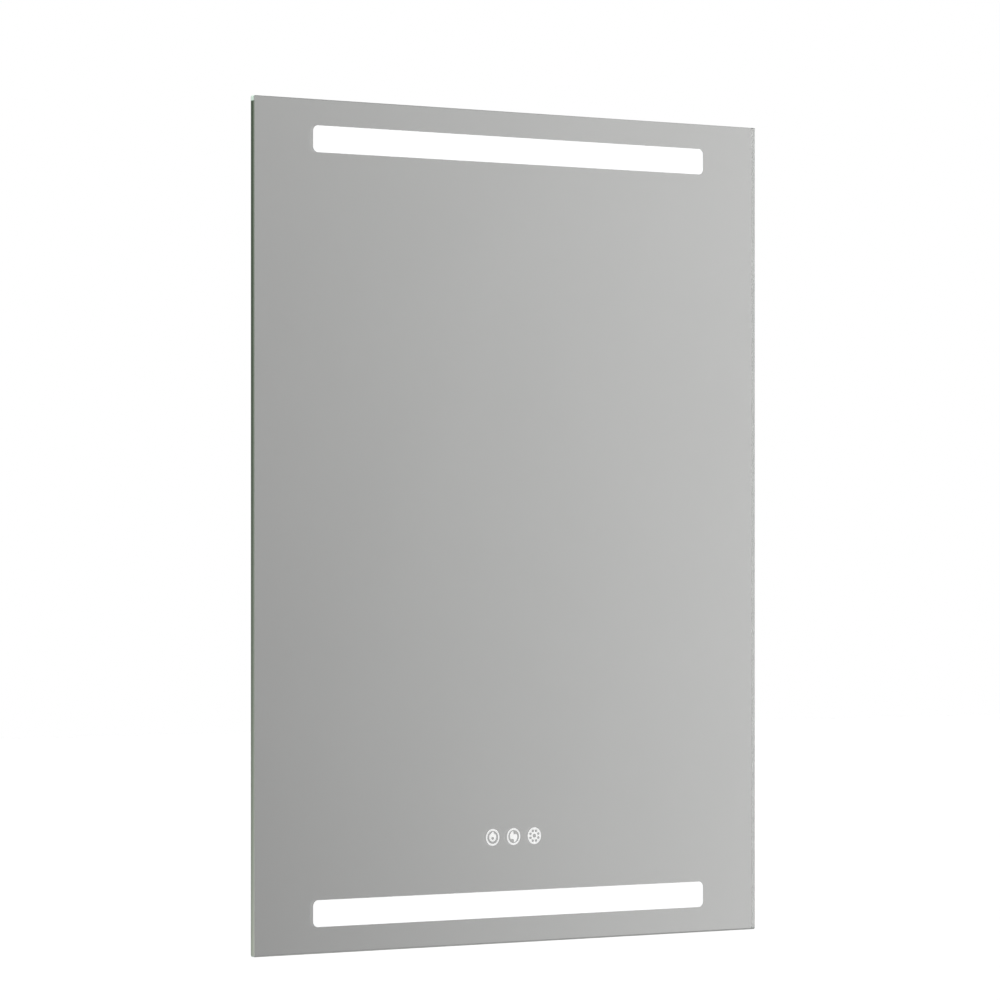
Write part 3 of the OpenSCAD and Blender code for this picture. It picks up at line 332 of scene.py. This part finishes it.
def powder_coat(name, colour):
    """Powder coat with a fine orange peel."""
    look = Shader(name)
    look.tones(look.noise(per_metre=30), shade(colour, 0.96), shade(colour, 1.02))
    peel = look.noise(per_metre=1100, detail=1)
    look.rough(peel, low=0.36, high=0.5)
    look.bump(peel, height=0.03 * MM, strength=0.6)
    return look.material


def circuit(name, colour):
    """Solder mask over fine copper lines."""
    look = Shader(name)
    lines = look.cells(per_metre=500)
    look.tones(lines, shade(colour, 0.85), shade(colour, 1.2))
    look.rough(look.noise(per_metre=1500), low=0.25, high=0.4)
    look.bump(lines, height=0.03 * MM, strength=0.5)
    return look.material


def bright_metal(name, colour):
    """Drawn or turned metal, bare and fairly bright, such as a spring, a screw or a rivet."""
    look = Shader(name)
    look.set(Metallic=1.0)
    look.tones(look.noise(per_metre=700), shade(colour, 0.85), shade(colour, 1.08))
    look.rough(look.noise(per_metre=1600), low=0.22, high=0.38)
    return look.material


def heater_film(name, colour):
    """Polyester film on the paint: smooth, with slow ripples from being rolled on by hand."""
    look = Shader(name)
    look.set(IOR=1.6)
    look.tones(look.noise(per_metre=22, detail=4), shade(colour, 0.93), shade(colour, 1.03))
    look.rough(look.noise(per_metre=120), low=0.16, high=0.34)
    look.bump(look.noise(per_metre=(55, 55, 28), detail=2), height=0.18 * MM, strength=0.8)
    return look.material


def heater_foil(name):
    """Etched aluminium foil under the film, with fine creases."""
    look = Shader(name)
    look.set(Metallic=1.0)
    look.tones(look.noise(per_metre=(260, 260, 60), detail=4), (0.5, 0.5, 0.51, 1), (0.68, 0.68, 0.69, 1))
    look.rough(look.noise(per_metre=500), low=0.24, high=0.42)
    look.bump(look.noise(per_metre=(380, 380, 240), detail=4), height=0.06 * MM, strength=0.8)
    return look.material


def sheath(name, colour):
    """Soft plastic sheath of a lead."""
    look = Shader(name)
    look.tones(look.noise(per_metre=45), shade(colour, 0.94), shade(colour, 1.03))
    look.rough(look.noise(per_metre=800), low=0.38, high=0.52)
    look.bump(look.noise(per_metre=900, detail=2), height=0.02 * MM, strength=0.5)
    return look.material


def backing_paint(name, colour):
    """Grey paint on the back of the silvering: curtain-coated, with a faint orange peel."""
    look = Shader(name)
    look.tones(look.noise(per_metre=9, detail=4), shade(colour, 0.93), shade(colour, 1.07))
    peel = look.noise(per_metre=420, detail=2)
    look.rough(peel, low=0.4, high=0.56)
    look.bump(peel, height=0.03 * MM, strength=0.7)
    return look.material


def silver(name):
    """The mirror's silver seen through the glass: near perfect, with a trace of haze."""
    look = Shader(name)
    look.set(Metallic=1.0)
    look.tones(look.noise(per_metre=6), (0.922, 0.922, 0.919, 1), (0.934, 0.934, 0.931, 1))
    look.rough(look.noise(per_metre=50), low=0.0, high=0.02)
    return look.material


def clear_glass(name, dark, pale, rough, clear=1.0):
    """Polished glass; clear is the share of the light that goes through."""
    look = Shader(name)
    look.set(Transmission_Weight=clear, IOR=1.5)
    look.tones(look.noise(per_metre=8), dark, pale)
    look.rough(look.noise(per_metre=70), low=0.0, high=rough)
    return look.material


def frost(look, rough):
    """Gives a shader the fine frosting of a ground edge."""
    grain = look.noise(per_metre=2500)
    look.rough(grain, low=rough - 0.06, high=rough + 0.1)
    look.bump(grain, height=0.015 * MM, strength=0.5)
    look.set(Specular_IOR_Level=EDGE_SHEEN)


def edge_with_painted_shade(name, top, bottom, rough, painted_back_shade=0.0):
    """Ground glass edge, green, with painted shade: dark, paler towards the bottom and, there, the front,
    where the pale tone is painted light.
    """
    look = Shader(name)
    low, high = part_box("mirror_glass")
    place = look.add("ShaderNodeSeparateXYZ")
    look.link(look.object_place(), place, "Vector")
    sums = Sums(look.tree)
    below_top = sums("DIVIDE", sums("SUBTRACT", high.z, place.outputs["Z"]), high.z - low.z)
    painted_light_share = sums("POWER", sums("MAXIMUM", below_top, 0.0), PAINTED_LIGHT_FADE)
    depth = sums("DIVIDE", sums("SUBTRACT", place.outputs["Y"], low.y), high.y - low.y)
    front = sums("SUBTRACT", 1.0, sums("MULTIPLY", depth, painted_back_shade))
    look.mixed(sums("MULTIPLY", painted_light_share, front), top, bottom)
    frost(look, rough)
    return look.material


def edge_with_painted_light_and_shade(name, colour, rough):
    """Ground glass edge of one flat tone, which is painted light on the lit edges and painted shade on the
    dark bottom arris.
    """
    look = Shader(name)
    look.tones(look.noise(per_metre=50), shade(colour, 0.96), shade(colour, 1.03))
    frost(look, rough)
    return look.material


ALUMINIUM = (0.74, 0.75, 0.76, 1)
ALONG_X, ALONG_Z = (9, 1800, 1800), (1800, 1800, 9)      # die lines to the metre on each axis
EDGE_ROUGH, ARRIS_ROUGH = 0.42, 0.34

aluminium_x = extrusion("satin_aluminium_x", ALONG_X, ALUMINIUM)
aluminium_z = extrusion("satin_aluminium_z", ALONG_Z, ALUMINIUM)
steel = zinc("zinc_plate", (0.62, 0.63, 0.65, 1))
screw_steel = zinc("screw_zinc", (0.55, 0.56, 0.58, 1), rough=0.3)
rivet_metal = bright_metal("rivet_aluminium", (0.72, 0.73, 0.74, 1))
tape = foam("foam_tape", (0.86, 0.86, 0.84, 1))
black_rubber = rubber("black_rubber", (0.028, 0.028, 0.03, 1))
white_coat = powder_coat("white_powder_coat", (0.84, 0.84, 0.83, 1))
bar_opal = lit_opal("lit_opal_bar", strength=0.84)
key_opal = lit_opal("lit_opal_key", strength=0.69)
board_white = circuit("white_light_board", (0.84, 0.84, 0.82, 1))
chip_lit = lit_opal("lit_chip", strength=1.4)
grey_plastic = plastic("grey_plastic", (0.34, 0.35, 0.36, 1), rough=0.5)
white_plastic = plastic("white_plastic", (0.8, 0.8, 0.78, 1))
case_plastic = plastic("driver_plastic", (0.83, 0.83, 0.82, 1), rough=0.4)
block_plastic = plastic("block_plastic", (0.7, 0.7, 0.66, 1), rough=0.35)
clip_plastic = plastic("clip_plastic", (0.82, 0.82, 0.8, 1), rough=0.35, grain=0.6 * MM)
green_board = circuit("green_board", (0.03, 0.16, 0.08, 1))
spring_bronze = bright_metal("spring_bronze", (0.78, 0.6, 0.33, 1))
film = heater_film("heater_film", srgb(214, 212, 200))
foil = heater_foil("heater_foil")
white_sheath = sheath("lead_sheath", (0.82, 0.82, 0.8, 1))
paint = backing_paint("backing_paint", srgb(128, 136, 138))
silver_front = silver("silvering")
glass_face = clear_glass("clear_glass", (0.985, 0.987, 0.985, 1), (0.992, 0.994, 0.992, 1), rough=0.01)
glass_side = clear_glass(
    "polished_glass_side", (0.72, 0.92, 0.82, 1), (0.8, 0.97, 0.89, 1), rough=0.02, clear=0.9
)
# Painted shade on the near edge and its arris: dark above, paler towards the bottom
painted_shade_edge = edge_with_painted_shade(
    "painted_shade_glass_edge", srgb(73, 86, 69), srgb(183, 190, 177), EDGE_ROUGH, PAINTED_BACK_SHADE
)
painted_shade_arris = edge_with_painted_shade("painted_shade_glass_arris", srgb(129, 138, 126), srgb(171, 174, 167), ARRIS_ROUGH)
# Flat tones of painted light on the bottom edge and its corners, and of painted shade on the bottom arris
painted_light_edge = edge_with_painted_light_and_shade("painted_light_glass_edge", srgb(180, 190, 183), EDGE_ROUGH)
painted_light_arris = edge_with_painted_light_and_shade("painted_light_glass_arris", srgb(188, 196, 190), ARRIS_ROUGH)
painted_shade_low_arris = edge_with_painted_light_and_shade("painted_shade_low_glass_arris", srgb(120, 123, 119), ARRIS_ROUGH)
# A painted glint at the top left corner, bright on the edge and dimmer on its arris
painted_corner_glint = edge_with_painted_light_and_shade("glass_corner_glint", srgb(222, 243, 229), ARRIS_ROUGH)
painted_glint_arris = edge_with_painted_light_and_shade("painted_glint_glass_corner_arris", srgb(166, 176, 169), ARRIS_ROUGH)

FINISHES = {
    aluminium_x: ["wall_rail", "hanger_bar", "frame_top", "frame_bottom", "upper_crossbar", "lower_crossbar"],
    aluminium_z: ["frame_left", "frame_right"],
    steel: ["corner_keys", "crossbar_brackets", "gear_plate"],
    screw_steel: ["corner_screws", "bracket_screws", "driver_screws", "lid_screws", "box_screws"],
    rivet_metal: ["hanger_rivets"],
    tape: ["frame_tape", "crossbar_tape", "gear_tape"],
    black_rubber: ["wall_pads", "inlet_grommet"],
    white_coat: ["upper_light_trough", "lower_light_trough"],
    bar_opal: ["upper_diffuser", "lower_diffuser"],
    key_opal: ["touch_lens"],
    board_white: ["upper_light_board", "lower_light_board"],
    chip_lit: ["upper_light_chips", "lower_light_chips", "touch_lights"],
    grey_plastic: ["upper_trough_plugs", "lower_trough_plugs", "driver_end_covers"],
    white_plastic: ["touch_housing", "wiring_box", "wiring_box_lid"],
    case_plastic: ["driver_case"],
    block_plastic: ["terminal_block"],
    clip_plastic: ["lead_clips"],
    green_board: ["touch_board"],
    spring_bronze: ["terminal_screws", "touch_springs"],
    film: ["heating_film"],
    foil: ["heating_track"],
    white_sheath: ["supply_lead", "upper_light_lead", "lower_light_lead", "film_lead", "driver_lead"],
    paint: ["silver_coating"],
    glass_face: ["mirror_glass"],
}


def dress_nodes():
    """Gives each CAD node its material."""
    for material, names in FINISHES.items():
        for name in names:
            slots = nodes[name].data.materials
            slots.clear()
            slots.append(material)


# Shapes and objects

def add_object(name, data, materials=()):
    """Puts a mesh, curve, lamp or camera in the scene."""
    piece = bpy.data.objects.new(name, data)
    bpy.context.scene.collection.objects.link(piece)
    for material in materials:
        data.materials.append(material)
    return piece


def arc(centre, radius, start, end, steps):
    """Points on an arc, from one angle to another in degrees."""
    points = []
    for i in range(steps + 1):
        angle = math.radians(start + (end - start) * i / steps)
        points.append((centre[0] + radius * math.cos(angle), centre[1] + radius * math.sin(angle)))
    return points


def rounded(half_w, half_h, radius, centre, steps=8):
    """Outline of a rounded rectangle, anticlockwise from its lower right corner."""
    outline = []
    for side_x, side_z, start in ((1, -1, -90), (1, 1, 0), (-1, 1, 90), (-1, -1, 180)):
        middle = (centre[0] + side_x * (half_w - radius), centre[1] + side_z * (half_h - radius))
        outline += arc(middle, radius, start, start + 90, steps)
    return outline


def ring(centre, radius, steps=64):
    """Outline of a circle."""
    return arc(centre, radius, 0, 360, steps)[:-1]


# Glass

# Slots of the glass's materials; those of the ground edges carry painted light, painted shade and a painted
# glint
FACE, SIDE, EDGE_PAINTED_SHADE, ARRIS_PAINTED_SHADE, EDGE_PAINTED_LIGHT, ARRIS_PAINTED_LIGHT, LOW_ARRIS_PAINTED_SHADE, GLINT, PAINTED_GLINT_ARRIS = range(9)
GLASS_MATERIALS = (
    glass_face, glass_side, painted_shade_edge, painted_shade_arris, painted_light_edge, painted_light_arris, painted_shade_low_arris, painted_corner_glint, painted_glint_arris
)
CORE = 1                          # which band of the side faces lies between the front and back arrises


def glass_ring(surface, y, inset, far_inset):
    """One outline of the slab; the far inset is the one on the right and at the top."""
    low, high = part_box("mirror_glass")
    centre = ((low.x + high.x) / 2, (low.z + high.z) / 2)
    half_w, half_h = (high.x - low.x) / 2, (high.z - low.z) / 2
    outline = rounded(half_w - inset, half_h - inset, CORNER - inset, centre)
    after_top_left = 3 * len(outline) // 4
    outline.insert(after_top_left, (outline[after_top_left][0], high.z - PAINTED_GLINT_HEIGHT))
    out = inset - far_inset
    top_corners = high.z - 2 * CORNER
    return [
        surface.verts.new((x + out * (x > centre[0]), y, z + out * (z > top_corners)))
        for x, z in outline
    ]


def join_rings(surface, rings):
    """Side faces between the rings, each with whether it lies on the core."""
    count = len(rings[0])
    sides = []
    for band, (front, back) in enumerate(zip(rings, rings[1:])):
        for i in range(count):
            j = (i + 1) % count
            face = surface.faces.new((front[i], back[i], back[j], front[j]))
            face.smooth = True
            sides.append((face, band == CORE))
    return sides


def edge_slot(normal, core, at_top):
    """Which material a side face takes: left and bottom are ground, right and top are polished; each ground
    face gets its painted shade, painted light or painted glint by where it faces.
    """
    upright = abs(normal.z) < UPRIGHT_LEAN
    if at_top and normal.x < -CORNER_LEAN:
        return GLINT if core else PAINTED_GLINT_ARRIS
    if upright and normal.x < -SIDE_LEAN:
        return EDGE_PAINTED_SHADE if core else ARRIS_PAINTED_SHADE
    if normal.z > UPRIGHT_LEAN or (upright and normal.x > SIDE_LEAN):
        return SIDE if core else FACE
    if core:
        return EDGE_PAINTED_LIGHT
    return LOW_ARRIS_PAINTED_SHADE if normal.z < -DOWN_LEAN else ARRIS_PAINTED_LIGHT


def make_glass():
    """The glass as one slab: polished faces, ground or polished sides, and an arris round both faces."""
    low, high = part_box("mirror_glass")
    surface = bmesh.new()
    rings = [
        glass_ring(surface, low.y, ARRIS, FINE_ARRIS),
        glass_ring(surface, low.y + ARRIS, 0.0, 0.0),
        glass_ring(surface, high.y - FINE_ARRIS, 0.0, 0.0),
        glass_ring(surface, high.y - FILM_GAP, FINE_ARRIS, FINE_ARRIS),
    ]
    sides = join_rings(surface, rings)
    surface.faces.new(rings[0])
    surface.faces.new(list(reversed(rings[-1])))
    bmesh.ops.recalc_face_normals(surface, faces=surface.faces)
    for face, core in sides:
        at_top = face.calc_center_median().z > high.z - PAINTED_GLINT_HEIGHT
        face.material_index = edge_slot(face.normal, core, at_top)
    for edge in surface.edges:
        edge.smooth = edge.calc_face_angle(0) <= SHARP_TURN
    mesh = bpy.data.meshes.new("mirror_glass_slab")
    surface.to_mesh(mesh)
    surface.free()
    piece = add_object("mirror_glass_slab", mesh, GLASS_MATERIALS)
    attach(piece, "mirror")
    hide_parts("mirror_glass")


# Silvering with its windows and key signs

def placed(points, key):
    """A sign's points, in millimetres, set round the middle of its key."""
    return [(key[0] + x * MM, key[1] + z * MM) for x, z in points]


def drop_sign(key):
    """A drop with a dark spot low in it."""
    tangent = math.degrees(math.asin(DROP_R / (DROP_TIP + DROP_R)))
    round_part = arc(DROP_MIDDLE, DROP_R, 180 - tangent, 360 + tangent, steps=32)
    right = list(DROP_SHOULDER)
    left = [(-x, z) for x, z in reversed(right)]
    drop = [(x, z + DROP_RISE) for x, z in round_part + right + [(0, DROP_TIP)] + left]
    spot = ring(DROP_SPOT_AT, DROP_SPOT_R, steps=24)
    return [placed(drop, key), placed(spot, key)]


def swirl_sign(key):
    """Two opposed strokes joined by a slanting band: one half, and the same turned half round."""
    turned = [(-x, -z) for x, z in SWIRL_HALF]
    return [placed(list(SWIRL_HALF) + turned, key)]


def sun_sign(key):
    """A spot in the middle of a disc, and more spots round it."""
    spots = [placed(ring((0, 0), SUN_MIDDLE_R, steps=24), key)]
    for k in range(SUN_SPOTS):
        turn = math.radians(360 / SUN_SPOTS * (k + 0.5))
        at = (SUN_SPOT_AT * math.cos(turn), SUN_SPOT_AT * math.sin(turn))
        spots.append(placed(ring(at, SUN_SPOT_R, steps=20), key))
    return spots


def window_outlines():
    """The cleared windows in front of the light troughs."""
    outlines = []
    for name, rise in WINDOW_RISE.items():
        low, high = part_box(name)
        middle = ((low.x + high.x) / 2 + SEEN_SHIFT, (low.z + high.z) / 2 + rise)
        outlines.append(rounded(*WINDOW_HALF, WINDOW_R, middle, steps=12))
    return outlines


def key_outlines():
    """The signs of the three keys: two in a ring, and the third on a whole disc."""
    low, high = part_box("touch_lens")
    key_z = (low.z + high.z) / 2
    outlines = []
    for place, sign in ((-1, drop_sign), (0, swirl_sign), (1, sun_sign)):
        key = (place * KEY_PITCH + SEEN_SHIFT, key_z)
        outlines.append(ring(key, KEY_R))
        if sign is not sun_sign:
            outlines.append(ring(key, KEY_R - KEY_STROKE))
        outlines += sign(key)
    return outlines


def sheet_outline():
    """The silvering's own edge, out to the glass's left, right and top edges."""
    coat_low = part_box("silver_coating")[0]
    low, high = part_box("mirror_glass")
    left, right, top = low.x + FINE_ARRIS, high.x - FINE_ARRIS, high.z - FINE_ARRIS
    centre = ((left + right) / 2, (coat_low.z + top) / 2)
    return rounded((right - left) / 2, (top - coat_low.z) / 2, CORNER, centre)


def cut_sheet(name, outlines, thickness):
    """A sheet in X and Y cut along outlines, holes and islands alike, with its middle at Z 0."""
    curve = bpy.data.curves.new(name, "CURVE")
    curve.dimensions = "2D"
    curve.fill_mode = "BOTH"
    curve.extrude = thickness / 2
    for outline in outlines:
        spline = curve.splines.new("POLY")
        spline.points.add(len(outline) - 1)
        for point, (x, y) in zip(spline.points, outline):
            point.co = (x, y, 0, 1)
        spline.use_cyclic_u = True
    drawn = add_object(name, curve)
    bpy.context.view_layer.update()
    mesh = bpy.data.meshes.new_from_object(drawn.evaluated_get(bpy.context.evaluated_depsgraph_get()))
    bpy.data.objects.remove(drawn)
    mesh.materials.clear()
    return mesh


def make_silvering():
    """The silvering as one sheet: silver in front, grey paint behind."""
    low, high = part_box("silver_coating")
    outlines = [sheet_outline()] + window_outlines() + key_outlines()
    mesh = cut_sheet("silvering_outlines", outlines, high.y - low.y)
    mesh.name = "silvering_sheet"
    stood_up = Matrix.Rotation(math.pi / 2, 4, "X")
    mesh.transform(Matrix.Translation((0, (low.y + high.y) / 2, 0)) @ stood_up)
    surface = bmesh.new()
    surface.from_mesh(mesh)
    bmesh.ops.remove_doubles(surface, verts=surface.verts, dist=WELD)
    bmesh.ops.recalc_face_normals(surface, faces=surface.faces)
    for face in surface.faces:
        face.smooth = False
        face.material_index = 0 if face.normal.y < -FRONT_LEAN else 1
    surface.to_mesh(mesh)
    surface.free()
    piece = add_object("silvering_sheet", mesh, [silver_front, paint])
    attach(piece, "mirror")
    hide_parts("silver_coating")


# Studio

def make_camera():
    data = bpy.data.cameras.new("camera")
    data.lens = LENS
    data.sensor_width = SENSOR
    data.shift_y = SHIFT_Y
    camera = add_object("camera", data)
    camera.location = CAMERA_AT
    camera.rotation_euler = (math.pi / 2, 0, math.radians(-CAMERA_TURN))
    bpy.context.scene.camera = camera


def seen_directly(tree):
    """1 for rays from the camera, off metal or through glass, and 0 for rays that light matt surfaces."""
    path = tree.nodes.new("ShaderNodeLightPath")
    sums = Sums(tree)
    camera_or_metal = sums("MAXIMUM", path.outputs["Is Camera Ray"], path.outputs["Is Glossy Ray"])
    return sums("MAXIMUM", camera_or_metal, path.outputs["Is Transmission Ray"])


def make_world():
    """White where it is seen, and a plain level of light where it lights."""
    world = bpy.data.worlds.new("studio")
    bpy.context.scene.world = world
    world.use_nodes = True
    tree = world.node_tree
    background = tree.nodes["Background"]
    level = tree.nodes.new("ShaderNodeMapRange")
    level.inputs["To Min"].default_value = DAYLIGHT
    level.inputs["To Max"].default_value = 1.0
    tree.links.new(seen_directly(tree), level.inputs["Value"])
    background.inputs["Color"].default_value = (1, 1, 1, 1)
    tree.links.new(level.outputs["Result"], background.inputs["Strength"])


def make_lamp(name, level, azimuth, elevation):
    """A wide soft sun; level is what it adds to a surface that faces it, and the angles are in degrees."""
    data = bpy.data.lights.new(name, "SUN")
    data.energy = level * math.pi
    data.angle = math.radians(LAMP_ANGLE)
    turn, height = math.radians(azimuth), math.radians(elevation)
    towards_lamp = Vector((
        math.sin(turn) * math.cos(height), -math.cos(turn) * math.cos(height), math.sin(height)
    ))
    lamp = add_object(name, data)
    lamp.rotation_mode = "QUATERNION"
    lamp.rotation_quaternion = towards_lamp.to_track_quat("Z", "Y")


def floor_material():
    """Matt and pale, white where it is lit, and clear from below."""
    material = bare_material("floor")
    tree = material.node_tree
    out = tree.nodes.new("ShaderNodeOutputMaterial")
    matt = tree.nodes.new("ShaderNodeBsdfDiffuse")
    matt.inputs["Color"].default_value = (FLOOR_TONE, FLOOR_TONE, FLOOR_TONE, 1)
    glow = tree.nodes.new("ShaderNodeEmission")
    tree.links.new(Sums(tree)("MULTIPLY", seen_directly(tree), FLOOR_GLOW), glow.inputs["Strength"])
    both = tree.nodes.new("ShaderNodeAddShader")
    tree.links.new(matt.outputs[0], both.inputs[0])
    tree.links.new(glow.outputs[0], both.inputs[1])
    clear = tree.nodes.new("ShaderNodeBsdfTransparent")
    side = tree.nodes.new("ShaderNodeNewGeometry")
    mix = tree.nodes.new("ShaderNodeMixShader")
    tree.links.new(side.outputs["Backfacing"], mix.inputs[0])
    tree.links.new(both.outputs[0], mix.inputs[1])
    tree.links.new(clear.outputs[0], mix.inputs[2])
    tree.links.new(mix.outputs[0], out.inputs["Surface"])
    return material


def make_floor():
    """A pale floor, which keeps the shadow and can be looked through from below."""
    floor_z = cad_low.z - FLOOR_DROP
    corners = [
        (side_x * FLOOR_HALF, side_y * FLOOR_HALF, floor_z)
        for side_x, side_y in ((-1, -1), (1, -1), (1, 1), (-1, 1))
    ]
    mesh = bpy.data.meshes.new("floor")
    mesh.from_pydata(corners, [], [(0, 1, 2, 3)])
    add_object("floor", mesh, [floor_material()])


def dome_material(middle_z):
    """Grey light whose tone swings with the direction, and a little with the height."""
    material = bare_material("grey_dome")
    tree = material.node_tree
    sums = Sums(tree)
    place = tree.nodes.new("ShaderNodeTexCoord")
    split = tree.nodes.new("ShaderNodeSeparateXYZ")
    tree.links.new(place.outputs["Object"], split.inputs[0])
    forward = sums("MULTIPLY", split.outputs["Y"], -1.0)
    around = sums("ARCTAN2", split.outputs["X"], forward)
    turned = sums("SUBTRACT", around, math.radians(DOME_PHASE))
    wave = sums("SINE", sums("MULTIPLY", turned, DOME_SWINGS))
    share = sums("MULTIPLY", sums("SUBTRACT", 1.0, wave), 0.5)
    height = sums("SUBTRACT", split.outputs["Z"], middle_z)
    depth = sums("ADD", sums("MULTIPLY", height, DOME_DEPTH_RISE), DOME_DEPTH)
    swinging = sums("SUBTRACT", DOME_LIGHT, sums("MULTIPLY", share, depth))
    glow = tree.nodes.new("ShaderNodeEmission")
    glow.inputs["Color"].default_value = DOME_TINT
    tree.links.new(sums("MAXIMUM", swinging, DOME_DARKEST), glow.inputs["Strength"])
    out = tree.nodes.new("ShaderNodeOutputMaterial")
    tree.links.new(glow.outputs[0], out.inputs["Surface"])
    material.cycles.emission_sampling = "NONE"
    return material


def make_dome():
    """The dome itself, which lights nothing and casts no shadow."""
    low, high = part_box("mirror_glass")
    middle_z = (low.z + high.z) / 2
    mesh = bpy.data.meshes.new("grey_dome")
    surface = bmesh.new()
    bmesh.ops.create_uvsphere(
        surface, u_segments=DOME_SEGMENTS, v_segments=DOME_SEGMENTS // 2, radius=DOME_R
    )
    bmesh.ops.translate(surface, verts=surface.verts, vec=(0, 0, middle_z))
    for face in surface.faces:
        face.smooth = True
    surface.to_mesh(mesh)
    surface.free()
    dome = add_object("grey_dome", mesh, [dome_material(middle_z)])
    dome.visible_camera = False
    dome.visible_diffuse = False
    dome.visible_shadow = False


make_camera()
make_world()
make_lamp("front_lamp", FRONT_LIGHT, azimuth=-40, elevation=50)
make_lamp("rear_lamp", REAR_LIGHT, azimuth=150, elevation=55)
make_floor()
make_dome()
dress_nodes()
make_glass()
make_silvering()

bpy.context.scene.view_settings.view_transform = "Standard"
